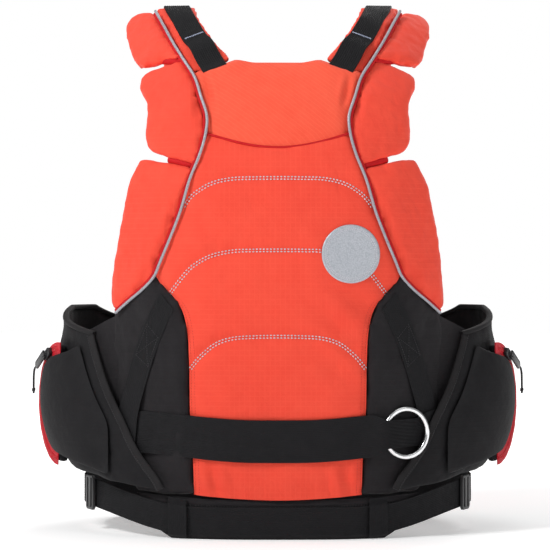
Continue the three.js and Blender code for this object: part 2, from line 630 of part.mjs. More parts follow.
// ---- Reflective patch on the back panel ----
const patchAt = [74.6 * wide, 293 * tall];
const patchLift = coverOut + 0.4;
add("reflective_patch", slab(
  (u, v) => {
    const [a, b] = [2 * u - 1, 2 * v - 1];
    const x = patchAt[0] + (patchDiameter / 2) * a * Math.sqrt(1 - (b * b) / 2);
    const z = patchAt[1] + (patchDiameter / 2) * b * Math.sqrt(1 - (a * a) / 2);
    const y = backFace(x, z) - patchLift;
    return [vec(x, y - coverCloth, z), vec(x, y, z)];
  },
  8,
  8,
), reflective);

// ---- Hard parts on the webbing: plates with slots, drawn flat and seated on it ----
function plate(long, high, thick, slots, corner = 3) {
  const [a, b, c] = [long / 2, high / 2, corner];
  const shape = outline([[-a, -b + c], [-a + c, -b], [a - c, -b], [a, -b + c], [a, b - c], [a - c, b], [-a + c, b],
    [-a, b - c]]);
  const whole = new THREE.ExtrudeGeometry(shape, { depth: thick, bevelEnabled: false });
  const slot = ([x, y, w, h]) => new THREE.BoxGeometry(w, h, 3 * thick).translate(x, y, thick / 2);
  return slots.reduce((left, size) => cut(left, slot(size)), whole);
}
const hardGap = 0.4; // between a hard part and the webbing under it
const overWeb = webbing / 2 + hardGap; // from a webbing's middle to the underside of a part on it
const outFrom = (tangent) => vec(tangent.y, -tangent.x, 0).normalize();
// The outward direction on the front at a place.
const frontOut = (x, z) =>
  vec(3 * fullness * Math.abs(x) * x, 1, -(frontFace(x, z + 5) - frontFace(x, z - 5)) / 10).normalize();

// Ladder locks on the front ends of the shoulder webbing.
const lockShare = 0.9;
const lockPlace = strapPoint(lockShare, strapMiddle);
const lockOut = strapPoint(lockShare, 0.8).point.sub(strapPoint(lockShare, 0.2).point).cross(lockPlace.along).normalize();
addPair("shoulder_lock", seat(
  plate(26, 33, 3.6, [[-6, 0, 4, 26], [6, 0, 4, 26]]),
  lockPlace.point.clone().addScaledVector(lockOut, gap + webbing + 2.8 * hardGap),
  lockPlace.along,
  lockOut,
), plastic);

// Adjusters on the waist belt at both sides. Each can be pushed along the belt.
const adjusterShare = solve((t) => waistLine.getPointAt(t).y + 50, 0.1, 0.3);
const adjusterPoint = waistLine.getPointAt(adjusterShare);
const adjusterRun = waistLine.getTangentAt(adjusterShare);
addPair("waist_adjuster", seat(
  plate(22, 37, 3.4, [[-5, 0, 3.6, waistBelt + 1], [5, 0, 3.6, waistBelt + 1]]),
  adjusterPoint.clone().setZ(adjusterPoint.z + waistRise(adjusterPoint.x))
    .addScaledVector(outFrom(adjusterRun), overWeb),
  adjusterRun,
  outFrom(adjusterRun),
), plastic);

// ---- Quick release on the front of the rescue belt: frame, cam lever, tail of the belt, ball ----
const frameThick = 4;
const onBelt = (level, height) => {
  const out = frontOut(0, level);
  return vec(0, frontFace(0, level) + frontMiddle, level).addScaledVector(out, overWeb + height);
};
const toWearersLeft = vec(-1, 0, 0);
add("release_frame", seat(plate(54, 56, frameThick, [[-15, 0, 10, 46], [15, 0, 10, 46]]), onBelt(beltLevel, 0),
  toWearersLeft, frontOut(0, beltLevel)), plastic);
const lever = { long: 30, high: 40, thick: 5 };
add("release_lever", seat(plate(lever.long, lever.high, lever.thick, [], 5),
  onBelt(beltLevel, frameThick + hardGap), toWearersLeft, frontOut(0, beltLevel)), red);
const tailFrom = solve((t) => beltLine.getPointAt(t).x + 30, 0.4, 0.6);
const tailTo = solve((t) => beltLine.getPointAt(t).x + 92, 0.5, 0.65);
add("release_tail", loopBelt(beltLine, tailFrom, tailTo, () => rescueBelt * 0.8,
  (p) => beltLevel - ringZ + beltRise(p.x), 6, stepUp), webBlack);
const ballDiameter = 18;
const ballShare = solve((t) => beltLine.getPointAt(t).x + 92.4 + ballDiameter / 2, 0.5, 0.65);
const ballPoint = beltLine.getPointAt(ballShare);
ballPoint.z = beltLevel + beltRise(ballPoint.x);
ballPoint.addScaledVector(outFrom(beltLine.getTangentAt(ballShare)), overWeb + ballDiameter / 2);
add("release_ball", new THREE.SphereGeometry(ballDiameter / 2, 16, 10).translate(...ballPoint), red);

// ---- Waist buckle: a socket and a plug that slides out of it towards the wearer's right ----
const buckle = { high: 30, thick: 9, socket: 30, base: 18, prong: 20 };
const buckleAt = onBelt(waistLevel, 0);
const buckleOut = frontOut(0, waistLevel);
const place = (geometry) => seat(geometry, buckleAt, vec(1, 0, 0), buckleOut);
const shell = plate(buckle.socket, buckle.high, buckle.thick, []).translate(-buckle.socket / 2, 0, 0);
const mouth = new THREE.BoxGeometry(23, 24, 6).translate(-23 / 2 + 1, 0, buckle.thick / 2);
add("waist_buckle_socket", place(cut(shell, mouth)), plastic);
const plugBase = plate(buckle.base, buckle.high, buckle.thick, [[3, 0, 4, 22]]).translate(0.4 + buckle.base / 2, 0, 0);
const prongs = [-8, 8].map((y) =>
  new THREE.BoxGeometry(buckle.prong + 2, 6, 4.6).translate(1.4 - buckle.prong / 2, y, buckle.thick / 2));
add("waist_buckle_plug", place(join(plugBase, ...prongs)), plastic);

// ---- Chest pocket with an upright zip, and a lash tab ----
const pocketEdgeIn = edge([[-108, 320], [-110, 260], [-110, 206]]);
const pocketEdgeOut = edge([[-18, 320], [-16, 260], [-16, 206]]);
const chestDepth = 9.2;
const chestFace = webIn + chestDepth;
add("chest_pocket", frontLayer(pocketEdgeIn, pocketEdgeOut, chestFace, -webIn, 6, 4), black);
const chestZipX = -34 * wide;
const chestTape = (side) => (v) => new THREE.Vector2(chestZipX + side * 4.5, lerp(316, 212, v) * tall);
const chestTapeTop = chestFace + gap + coverCloth;
add("chest_zip_tape", frontLayer(chestTape(-1), chestTape(1), chestTapeTop, -chestFace - gap, 1, 4), red);
const chestSliderZ = 300 * tall;
const chestRun = vec(0, frontFace(chestZipX, chestSliderZ - 50) - frontFace(chestZipX, chestSliderZ), -50).normalize();
const chestOut = chestRun.clone().cross(vec(-1, -3 * fullness * chestZipX ** 2, 0)).normalize();
const chestPoint = vec(chestZipX, frontFace(chestZipX, chestSliderZ) + chestTapeTop, chestSliderZ)
  .addScaledVector(chestOut, 0.5);
const chestSlider = { long: 14, wide: 7.6, thick: 3.4 };
const chestPull = { long: 22, wide: 8, thick: 2 };
add("chest_zip_slider", seat(sliderShape(chestSlider), chestPoint, chestRun, chestOut), plastic);
add("chest_zip_pull", seat(pullShape(chestPull),
  chestPoint.clone().addScaledVector(chestOut, chestSlider.thick + 2.2), chestRun, chestOut), plastic);
const tabX = 62 * wide;
const tabZ = 290 * tall;
add("lash_tab", seat(plate(38, 38, 3, [[-7, 0, 4, 16], [7, 0, 4, 16]], 9),
  vec(tabX, frontFace(tabX, tabZ), tabZ).addScaledVector(frontOut(tabX, tabZ), coverOut + hardGap),
  vec(1, -3 * fullness * tabX ** 2, 0), frontOut(tabX, tabZ)), plastic);

export default jacket;
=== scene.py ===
import bpy
import bmesh
import math
import numpy as np
from mathutils import Matrix, Vector, noise
from mathutils.bvhtree import BVHTree


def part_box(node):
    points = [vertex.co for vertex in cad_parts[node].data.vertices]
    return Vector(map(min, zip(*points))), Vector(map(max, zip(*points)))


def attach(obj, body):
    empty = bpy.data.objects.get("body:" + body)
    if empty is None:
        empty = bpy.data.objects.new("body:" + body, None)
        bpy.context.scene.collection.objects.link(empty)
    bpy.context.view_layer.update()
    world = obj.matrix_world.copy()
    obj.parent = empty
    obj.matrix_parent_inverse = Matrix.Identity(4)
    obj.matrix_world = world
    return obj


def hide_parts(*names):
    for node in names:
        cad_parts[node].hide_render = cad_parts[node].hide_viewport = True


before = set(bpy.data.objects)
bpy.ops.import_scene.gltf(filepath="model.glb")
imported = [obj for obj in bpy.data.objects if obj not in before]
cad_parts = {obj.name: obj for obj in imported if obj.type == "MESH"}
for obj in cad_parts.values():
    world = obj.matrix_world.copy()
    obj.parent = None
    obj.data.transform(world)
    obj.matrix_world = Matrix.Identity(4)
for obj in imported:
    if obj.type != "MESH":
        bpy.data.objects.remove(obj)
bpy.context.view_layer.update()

# A whitewater rescue life jacket. +Z is up and the wearer faces +Y, so their right is +X.
# Patterns are drawn in millimetres and made in metres.
MM = 0.001
SIDES = {"right": 1, "left": -1}

# ---- Camera ----
# It stands level behind the jacket, at the middle of its height.
camera = bpy.data.objects.new("camera", bpy.data.cameras.new("camera"))
bpy.context.collection.objects.link(camera)
camera.location = (-0.003, -2.5, 0.2715)
camera.rotation_euler = (math.radians(90), 0, 0)
camera.data.lens = 150
camera.data.sensor_width = 36
bpy.context.scene.camera = camera
bpy.context.scene.view_settings.view_transform = "Standard"


# ---- Pull cords of the side zips ----
# A thin braided cord is looped through the end of each side zip's pull, hangs down from it
# and ends in a melted knot. It swings with the pull.
def new_finish(name, roughness, metal=0.0):
    finish = bpy.data.materials.new(name)
    finish.use_nodes = True
    shader = finish.node_tree.nodes["Principled BSDF"]
    shader.inputs["Roughness"].default_value = roughness
    shader.inputs["Metallic"].default_value = metal
    return finish, finish.node_tree, shader


def node(tree, kind, values=(), **settings):
    made = tree.nodes.new(kind)
    for key, value in settings.items():
        setattr(made, key, value)
    for key, value in dict(values).items():
        if isinstance(value, bpy.types.NodeSocket):
            tree.links.new(value, made.inputs[key])
        else:
            made.inputs[key].default_value = value
    return made


def maths(tree, operation, *values):
    return node(tree, "ShaderNodeMath", enumerate(values), operation=operation).outputs[0]


def place(tree):
    return node(tree, "ShaderNodeTexCoord").outputs["Object"]


def blotches(tree, size, detail=3.0):
    """Soft random spots about `size` metres across, from 0 to 1."""
    values = {"Vector": place(tree), "Scale": 1 / size, "Detail": detail, "Roughness": 0.55}
    return node(tree, "ShaderNodeTexNoise", values).outputs["Fac"]


def between(tree, share, low, high):
    return node(tree, "ShaderNodeMapRange", {0: share, 3: low, 4: high}).outputs[0]


def mixed(tree, share, first, second):
    mix = node(tree, "ShaderNodeMix", data_type="RGBA")
    colours = [s for s in mix.inputs if s.type == "RGBA"]
    tree.links.new(share, mix.inputs[0])
    for socket, colour in zip(colours, (first, second)):
        if isinstance(colour, bpy.types.NodeSocket):
            tree.links.new(colour, socket)
        else:
            socket.default_value = (*colour, 1)
    return [s for s in mix.outputs if s.type == "RGBA"][0]


def raised(tree, shader, height, deep):
    """Turns a height from 0 to 1 into a bump `deep` metres deep."""
    bump = node(tree, "ShaderNodeBump", {"Height": height, "Distance": deep, "Strength": 1.0})
    tree.links.new(bump.outputs[0], shader.inputs["Normal"])


def braided(name, colour, lighter):
    finish, tree, shader = new_finish(name, 0.7)
    strands = node(tree, "ShaderNodeTexWave", {"Vector": place(tree), "Scale": 260.0, "Distortion": 3.0,
                                               "Detail": 1.0}, bands_direction="DIAGONAL").outputs["Fac"]
    colour_out = mixed(tree, maths(tree, "MULTIPLY", strands, blotches(tree, 0.004)), colour, lighter)
    tree.links.new(colour_out, shader.inputs["Base Color"])
    raised(tree, shader, strands, 0.0003)
    return finish


def new_piece(name, mesh, finishes, body, stands_for=(), sharp=None):
    """A finished piece: its material or materials, the body it moves with and its CAD nodes."""
    obj = bpy.data.objects.new(name, mesh)
    bpy.context.collection.objects.link(obj)
    mesh.materials.clear()
    for finish in finishes if isinstance(finishes, (list, tuple)) else [finishes]:
        mesh.materials.append(finish)
    mesh.shade_smooth()
    if sharp:
        mesh.set_sharp_from_angle(angle=math.radians(sharp))
    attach(obj, body)
    if stands_for:
        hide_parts(*stands_for)
    return obj


def new_mesh(name, points, faces):
    """A mesh from points in millimetres, with its faces turned outwards."""
    mesh = bpy.data.meshes.new(name)
    mesh.from_pydata([tuple(c * MM for c in p) for p in points], [], faces)
    shell = bmesh.new()
    shell.from_mesh(mesh)
    bmesh.ops.recalc_face_normals(shell, faces=shell.faces)
    shell.to_mesh(mesh)
    shell.free()
    return mesh


def tube_mesh(name, route, radius, around=12):
    """A round tube along a route in millimetres, domed at both ends; radius is a number or one per point."""
    route = [Vector(p) for p in route]
    count = len(route)
    radii = [radius] * count if isinstance(radius, (int, float)) else list(radius)
    points, faces = [], []
    side = (route[1] - route[0]).orthogonal().normalized()
    for k, centre in enumerate(route):
        along = (route[min(k + 1, count - 1)] - route[max(k - 1, 0)]).normalized()
        side = (side - along * side.dot(along)).normalized()
        other = along.cross(side)
        for a in range(around):
            turn = 2 * math.pi * a / around
            points.append(centre + (side * math.cos(turn) + other * math.sin(turn)) * radii[k])
    for k in range(count - 1):
        for a in range(around):
            b = (a + 1) % around
            faces.append((k * around + a, k * around + b, (k + 1) * around + b, (k + 1) * around + a))
    for k, inner in ((0, 1), (count - 1, -2)):
        ring = [k * around + a for a in range(around)]
        outward = (route[k] - route[inner]).normalized()
        points.append(route[k] + outward * radii[k] * 0.5)
        tip = len(points) - 1
        faces += [(ring[a], ring[(a + 1) % around], tip) for a in range(around)]
    return new_mesh(name, points, faces)


cord_black = braided("cord_black", (0.012, 0.012, 0.014), (0.05, 0.05, 0.055))
PULL_CORD = 2.4
pull_route = [
    (263.03, -7.03, 171.99), (263.90, -5.08, 171.06), (264.73, -3.25, 169.90), (265.32, -1.95, 168.07),
    (265.71, -1.08, 165.94), (265.98, -0.47, 163.71), (266.14, -0.12, 161.41), (266.21, 0.04, 159.09),
    (266.25, 0.13, 156.76), (266.28, 0.19, 154.42), (266.31, 0.26, 152.09), (266.32, 0.28, 149.76),
    (266.31, 0.26, 147.43), (266.30, 0.23, 145.10), (266.29, 0.22, 142.77),
]
for side, sign in SIDES.items():
    route = [(sign * x, y, z) for x, y, z in pull_route]
    end = Vector(route[-1])
    turns = [end + Vector((math.cos(a) * 1.1, math.sin(a) * 1.1, 5 - a * 0.22))
             for a in np.linspace(0, 12, 40)]
    knot = new_piece("pull_cord_knot_" + side, tube_mesh("knot", turns, 1.0, 8), cord_black,
                     "side_zip_pull_" + side)
    cord = new_piece("pull_cord_" + side, tube_mesh("cord", route, PULL_CORD / 2), cord_black,
                     "side_zip_pull_" + side, ["side_pull_cord_" + side])


# ---- Back panel: centre cover, yoke, foam and liner ----
# A slab of soft foam is sewn between an orange ripstop face and a dark mesh liner. The face has two
# parts, a yoke cut on the bias and the long centre panel, joined by a curved seam.
WEAVE = 0.0011
RIPSTOP = 0.0052


def bands(tree, axis, period):
    """Fine even bands across one axis, from 0 to 1."""
    values = {"Vector": place(tree), "Scale": math.pi / (10 * period)}
    return node(tree, "ShaderNodeTexWave", values, bands_direction=axis).outputs["Fac"]


def woven(tree, period, bias=False):
    """Threads both ways over a face: bands along an axis count where the face runs along it."""
    normal = node(tree, "ShaderNodeSeparateXYZ", {0: node(tree, "ShaderNodeNewGeometry").outputs["Normal"]})
    total = None
    for axis in "XYZ":
        facing = maths(tree, "ABSOLUTE", normal.outputs[axis])
        share = maths(tree, "SUBTRACT", 1.0, maths(tree, "MULTIPLY", facing, facing))
        thread = maths(tree, "MULTIPLY", bands(tree, axis, period), maths(tree, "POWER", share, 3.0))
        total = thread if total is None else maths(tree, "MAXIMUM", total, thread)
    if bias:
        fineness = math.pi / (10 * period) * 1.6
        slant = node(tree, "ShaderNodeTexWave", {"Vector": place(tree), "Scale": fineness},
                     bands_direction="DIAGONAL").outputs["Fac"]
        total = maths(tree, "MAXIMUM", maths(tree, "MULTIPLY", total, 0.6), slant)
    return total


def cloth(name, colour, shadow, light, roughness=0.8, sheen=0.0, ripstop=0.5, bias=False, puckers=0.0008):
    """Woven cloth: uneven dye, thread and ripstop lines, small puckers and a worn sheen."""
    finish, tree, shader = new_finish(name, roughness)
    dye = mixed(tree, between(tree, blotches(tree, 0.07), 0.15, 0.95), shadow, colour)
    grid = maths(tree, "POWER", woven(tree, RIPSTOP, bias), 7.0)
    lined = mixed(tree, maths(tree, "MULTIPLY", grid, ripstop), dye, light)
    threads = woven(tree, WEAVE)
    fine = mixed(tree, maths(tree, "MULTIPLY", threads, 0.16), lined, shadow)
    worn = between(tree, blotches(tree, 0.012, 5.0), -0.1, 0.25)
    tree.links.new(mixed(tree, worn, fine, light), shader.inputs["Base Color"])
    rough = between(tree, blotches(tree, 0.02), roughness - 0.1, roughness + 0.1)
    tree.links.new(rough, shader.inputs["Roughness"])
    shader.inputs["Sheen Weight"].default_value = sheen
    shader.inputs["Sheen Roughness"].default_value = 0.5
    shader.inputs["Specular IOR Level"].default_value = 0.3
    height = maths(tree, "ADD", maths(tree, "MULTIPLY", threads, 0.12),
                   maths(tree, "ADD", maths(tree, "MULTIPLY", grid, 0.1), blotches(tree, 0.009, 4.0)))
    raised(tree, shader, height, puckers)
    return finish


orange = cloth("orange_ripstop", (0.91, 0.078, 0.040), (0.80, 0.048, 0.026), (0.98, 0.13, 0.07), sheen=0.08,
               ripstop=0.18)
yoke_orange = cloth("yoke_ripstop", (0.93, 0.104, 0.050), (0.84, 0.072, 0.034), (1.0, 0.18, 0.095), sheen=0.1,
                    ripstop=0.2, bias=True)
lining = cloth("lining_mesh", (0.013, 0.018, 0.016), (0.007, 0.009, 0.009), (0.03, 0.036, 0.033), ripstop=0.3)
black = cloth("black_cordura", (0.0115, 0.0095, 0.0115), (0.0065, 0.0055, 0.0065), (0.026, 0.023, 0.026),
              roughness=0.85, sheen=0.04, ripstop=0.12)
wing_black = cloth("black_softshell", (0.0056, 0.005, 0.0064), (0.0034, 0.003, 0.004), (0.013, 0.012, 0.0145),
                   roughness=0.8, sheen=0.03, ripstop=0.05)


def pattern_edge(*corners):
    """A pattern's edge through a few (x, z) points: call it with a share of its length."""
    fine = []
    for k in range(len(corners) - 1):
        p0, p1, p2, p3 = (np.array(corners[min(max(i, 0), len(corners) - 1)], float)
                          for i in range(k - 1, k + 3))
        for t in np.arange(16) / 16:
            out, back = (p2 - p0) / 2, (p3 - p1) / 2
            fine.append((2 * t**3 - 3 * t**2 + 1) * p1 + (t**3 - 2 * t**2 + t) * out
                        + (3 * t**2 - 2 * t**3) * p2 + (t**3 - t**2) * back)
    fine = np.array(fine + [np.array(corners[-1], float)])
    gone = np.concatenate([[0], np.cumsum(np.linalg.norm(np.diff(fine, axis=0), axis=1))])
    return lambda share: tuple(np.interp(share * gone[-1], gone, fine[:, k]) for k in (0, 1))


def lerp(a, b, t):
    return a + (b - a) * t


def smooth(value, low, high):
    t = min(1.0, max(0.0, (value - low) / (high - low)))
    return t * t * (3 - 2 * t)


BACK_DEPTH = 168
FRONT_DEPTH = 153
FULLNESS = 1.3e-5
back_fall = ((0, 18), (60, 10), (150, 2), (250, 0), (350, 5), (420, 16), (462, 29), (490, 44), (515, 62),
             (535, 82), (548, 99), (556, 112))
front_fall = ((0, 18), (60, 10), (200, 0), (330, 6), (400, 18), (430, 25), (450, 31))


def eased(table, z):
    """The table's straight lines, softened where they meet."""
    return sum(np.interp(z + step, *zip(*table)) for step in (-14, -7, 0, 7, 14)) / 5


def back_face(x, z):
    return -(BACK_DEPTH - eased(back_fall, z)) + FULLNESS * abs(x) ** 3


def front_face(x, z):
    return FRONT_DEPTH - eased(front_fall, z) - FULLNESS * abs(x) ** 3


def slab(name, face, across, along):
    """A closed layer: face(u, v) gives its outer and its inner point."""
    outer, inner, faces = [], [], []
    for j in range(along + 1):
        for i in range(across + 1):
            out, under = face(i / across, j / along)
            outer.append(out)
            inner.append(under)
    count, row = len(outer), across + 1
    for j in range(along):
        for i in range(across):
            k = j * row + i
            faces.append((k, k + 1, k + row + 1, k + row))
            faces.append((count + k, count + k + row, count + k + row + 1, count + k + 1))
    border = list(range(across)) + [j * row + across for j in range(along)]
    border += [along * row + i for i in range(across, 0, -1)] + [j * row for j in range(along, 0, -1)]
    for a, b in zip(border, border[1:] + border[:1]):
        faces.append((b, a, count + a, count + b))
    return new_mesh(name, outer + inner, faces)


def wrinkle(x, z, size, seed=0.0):
    return noise.noise(Vector((x / size, z / size, seed)))


back_edge = pattern_edge((45, 492), (66, 484), (86, 477), (79, 456), (73, 435), (75, 415), (82, 394),
                         (92, 369), (101, 338), (111, 312), (122, 286), (126, 273), (119, 260), (100, 239),
                         (93, 215), (91, 185), (90, 130), (87, 80), (86, 46))
YOKE_SHARE = 0.214
YOKE_DIP = 15
HEM_DIP = 5
COVER_CLOTH = 1.2
COVER_OUT = 2.0
GAP = 0.8  # between layers that are sewn to each other
PATCH_X, PATCH_Z, PATCH_R = 74.6, 293, 30
# The three quilting lines over the centre panel, each as (x, z) from the middle outwards.
quilting = {
    "upper": ((0, 372), (24, 371.8), (47.5, 371), (69, 366), (87, 355), (97, 343)),
    "middle": ((0, 298), (24, 297.8), (46, 297), (69, 292), (87, 282), (98, 271), (112, 253)),
    "lower": ((0, 210), (24, 209.6), (46, 208), (64, 202), (80, 189), (90, 177)),
}


def cover_relief(x, z, share):
    """How far the centre panel's cloth stands out; share is 0 in the middle and 1 at its edge."""
    out = 2.2 * wrinkle(x, z, 60, 3) + 0.9 * wrinkle(x, z, 21, 9)
    for line in quilting.values():
        across = np.interp(abs(x), *zip(*line))
        off = abs(z - across) * (1 if abs(x) < 60 else 0.72)
        out -= 2.6 * math.exp(-((off / 6.0) ** 2))
        out += 0.45 * math.exp(-((off / 9) ** 2)) * wrinkle(x, 0, 7, across)
    edge_gap = (1 - share) * 100
    out -= 3.0 * math.exp(-((edge_gap / 5.0) ** 2))
    out += 1.1 * math.exp(-((edge_gap - 9) / 8) ** 2) * wrinkle(x * 0.3, z, 11, 5)
    # Soft folds run up and in from the wearer's right flank, and stand by the belt's edges.
    slanted = (x - 66) * 0.66 + (z - 225) * 0.75
    out += 2.3 * math.exp(-(((x - 70) / 34) ** 2 + ((z - 215) / 48) ** 2)) * math.sin(slanted / 5.5)
    out += 2.3 * math.exp(-(((abs(x) - 66) / 17) ** 2 + ((z - 62) / 20) ** 2)) * math.sin(x / 3.6 + z / 16)
    # It lies flat under the round patch.
    out *= 1 - 0.8 * math.exp(-((math.hypot(x - PATCH_X, z - PATCH_Z) / (PATCH_R + 8)) ** 4))
    belt = math.exp(-(((z - 103) / 25) ** 4))
    out = lerp(out, min(out, 0) - 1.0, belt)
    return out + 1.2 * math.exp(-(((z - 133) / 9) ** 2)) + 1.4 * math.exp(-(((z - 66) / 12) ** 2))


def back_point(edge_share, u, dip, out):
    """A point `out` millimetres behind the back's even face, u across it."""
    x_edge, z_edge = back_edge(edge_share)
    x = lerp(-x_edge, x_edge, u)
    z = z_edge - dip * math.sin(math.pi * u)
    return x, back_face(x, z) - out, z


def centre_cover(u, v):
    share = lerp(YOKE_SHARE + 0.001, 1, v)
    x, y, z = back_point(share, u, lerp(YOKE_DIP, HEM_DIP, v), COVER_OUT)
    relief = cover_relief(x, z, abs(2 * u - 1)) - 2.0 * math.exp(-((v * 360 / 5) ** 2))
    return (x, y - relief, z), (x, y - relief + COVER_CLOTH, z)


def yoke_cover(u, v):
    x, y, z = back_point(lerp(0, YOKE_SHARE - 0.001, v), u, YOKE_DIP * v, COVER_OUT)
    edge_gap = (1 - abs(2 * u - 1)) * 75
    relief = 0.9 * wrinkle(x, z, 55, 1) - 3.4 * math.exp(-((edge_gap / 6) ** 2))
    relief -= 2.2 * math.exp(-((v - 1) / 0.05) ** 2) + 2.5 * math.exp(-((v / 0.07) ** 2))
    # The cloth is drawn into the corner under each shoulder strap.
    corner = math.exp(-(((abs(x) - 74) / 11) ** 2 + ((z - 458) / 17) ** 2))
    relief += corner * (-2.6 + 2.6 * math.sin(abs(x) / 2.3 - z / 9))
    # The yoke's corners are turned in over the ends of the straps.
    z += 3.2 * smooth(abs(2 * u - 1), 0.5, 1.0) * smooth(back_edge(lerp(0, YOKE_SHARE, v))[1], 455, 476)
    return (x, y - relief, z), (x, y - relief + COVER_CLOTH, z)


back_cover = new_piece("back_centre_panel", slab("cover", centre_cover, 110, 190), orange, "jacket",
                       ["back_centre_cover"], sharp=60)
yoke = new_piece("back_yoke_panel", slab("yoke", yoke_cover, 90, 60), yoke_orange, "jacket",
                 ["back_yoke_cover"], sharp=60)
# Dark red cloth for painted shade in the seams and in the notches between the flaps.
painted_seam_shade = cloth("seam_shadow", (0.62, 0.008, 0.012), (0.42, 0.004, 0.008), (0.8, 0.02, 0.02), ripstop=0.0)
# A tube of it along the yoke's seam is painted shade in the seam's crease.
yoke_seam_shade = [back_point(YOKE_SHARE, u, YOKE_DIP, 0.0) for u in np.linspace(0.005, 0.995, 120)]
new_piece("yoke_seam_painted_shade", tube_mesh("yoke_seam_shade", yoke_seam_shade, 1.25, 8), painted_seam_shade, "jacket")


def merged_copy(cad_node):
    """A CAD node's mesh with its corners joined, ready to be worked on."""
    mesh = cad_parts[cad_node].data.copy()
    shell = bmesh.new()
    shell.from_mesh(mesh)
    bmesh.ops.remove_doubles(shell, verts=shell.verts, dist=2e-5)
    bmesh.ops.join_triangles(shell, faces=shell.faces, angle_face_threshold=0.3, angle_shape_threshold=1.0)
    bmesh.ops.recalc_face_normals(shell, faces=shell.faces)
    shell.to_mesh(mesh)
    shell.free()
    return mesh


def applied(obj):
    """The object's mesh with its modifiers applied; the object itself is removed."""
    graph = bpy.context.evaluated_depsgraph_get()
    mesh = bpy.data.meshes.new_from_object(obj.evaluated_get(graph))
    bpy.data.objects.remove(obj)
    return mesh


def loose(mesh):
    obj = bpy.data.objects.new("work", mesh)
    bpy.context.collection.objects.link(obj)
    return obj


def stuffed(mesh, inset, voxel, cap, soften=3, pressure=4.0):
    """Sewn cloth round foam: a form drawn in, then blown up in its own cloth; no point moves over `cap`."""
    shell = bmesh.new()
    shell.from_mesh(mesh)
    shell.normal_update()
    moves = [v.normal * inset * MM * max(1.0, v.calc_shell_factor()) for v in shell.verts]
    for v, move in zip(shell.verts, moves):
        v.co -= move
    shell.to_mesh(mesh)
    shell.free()
    obj = loose(mesh)
    remesh = obj.modifiers.new("even", "REMESH")
    remesh.mode = "VOXEL"
    remesh.voxel_size = voxel * MM
    rounded = obj.modifiers.new("rounded", "SMOOTH")
    rounded.iterations = soften
    mesh = applied(obj)
    start = np.array([v.co for v in mesh.vertices])
    obj = loose(mesh)
    sewn = obj.modifiers.new("cloth", "CLOTH")
    sewn.settings.use_pressure = True
    sewn.settings.uniform_pressure_force = pressure
    sewn.settings.effector_weights.gravity = 0
    sewn.settings.quality = 5
    sewn.settings.mass = 0.15
    sewn.settings.tension_stiffness = sewn.settings.compression_stiffness = 12
    sewn.collision_settings.use_collision = False
    sewn.point_cache.frame_start, sewn.point_cache.frame_end = 1, 20
    for step in range(1, 21):
        bpy.context.scene.frame_set(step)
    mesh = applied(obj)
    bpy.context.scene.frame_set(1)
    move = np.array([v.co for v in mesh.vertices]) - start
    size = np.linalg.norm(move, axis=1, keepdims=True)
    move *= np.minimum(1, cap * MM / np.maximum(size, 1e-9))
    mesh.vertices.foreach_set("co", (start + move).ravel())
    obj = loose(mesh)
    fine = obj.modifiers.new("fine", "SUBSURF")
    fine.levels = fine.render_levels = 1
    even = obj.modifiers.new("even", "SMOOTH")
    even.iterations = soften
    return applied(obj)


def snug(mesh, cad_node, grow=0.5, sides=(0, 1, 2)):
    """Stretches the pad a little along these axes, so that its seams meet those beside it."""
    low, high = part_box(cad_node)
    co = np.array([v.co for v in mesh.vertices])
    for axis in sides:
        was_low, was_high = co[:, axis].min(), co[:, axis].max()
        share = (high[axis] - low[axis] + 2 * grow * MM) / (was_high - was_low)
        co[:, axis] = (co[:, axis] - (was_low + was_high) / 2) * share + (high[axis] + low[axis]) / 2
    mesh.vertices.foreach_set("co", co.ravel())
    mesh.update()
    return mesh


def crumpled(mesh, deep, size, seed=0.0):
    """Small soft wrinkles, along each point's normal."""
    normals = [Vector(n.vector) for n in mesh.vertex_normals]
    for v, normal in zip(mesh.vertices, normals):
        where = v.co / (size * MM) + Vector((0, 0, seed))
        v.co += normal * (noise.noise(where) + 0.4 * noise.noise(where * 2.7)) * deep * MM
    return mesh


def foam_body(cad_node):
    return crumpled(stuffed(merged_copy(cad_node), 5.0, 5.5, 2.0), 0.6, 40)


foam_core = new_piece("back_foam_body", foam_body("back_foam_core"), lining, "jacket",
                      ["back_foam_core"])
BACK_FOAM = 42
LINER_IN = BACK_FOAM + GAP


def back_liner(u, v):
    dip = lerp(0, YOKE_DIP, v / YOKE_SHARE)
    if v >= YOKE_SHARE:
        dip = lerp(YOKE_DIP, HEM_DIP, (v - YOKE_SHARE) / 0.79)
    x, y, z = back_point(v, u, dip, -LINER_IN)
    puff = 1.2 * math.sin(x / 11) * math.sin(z / 13) + 0.6 * wrinkle(x, z, 30, 7)
    return (x, y, z), (x, y + COVER_CLOTH + max(-0.8, puff) * smooth(1 - abs(2 * u - 1), 0, 0.1), z)


new_piece("back_mesh_liner", slab("liner", back_liner, 60, 90), lining, "jacket", ["back_liner"],
          sharp=60)


# ---- Stitching ----
# Pale double rows quilt the centre panel to its foam; the other seams are topstitched in their own
# colour. A stitch is a short bead of thread laid along the seam's line, half sunk in the cloth.
def group_socket(tree, name, kind, value=None):
    made = tree.interface.new_socket(name, in_out="INPUT", socket_type=kind)
    if value is not None:
        made.default_value = value


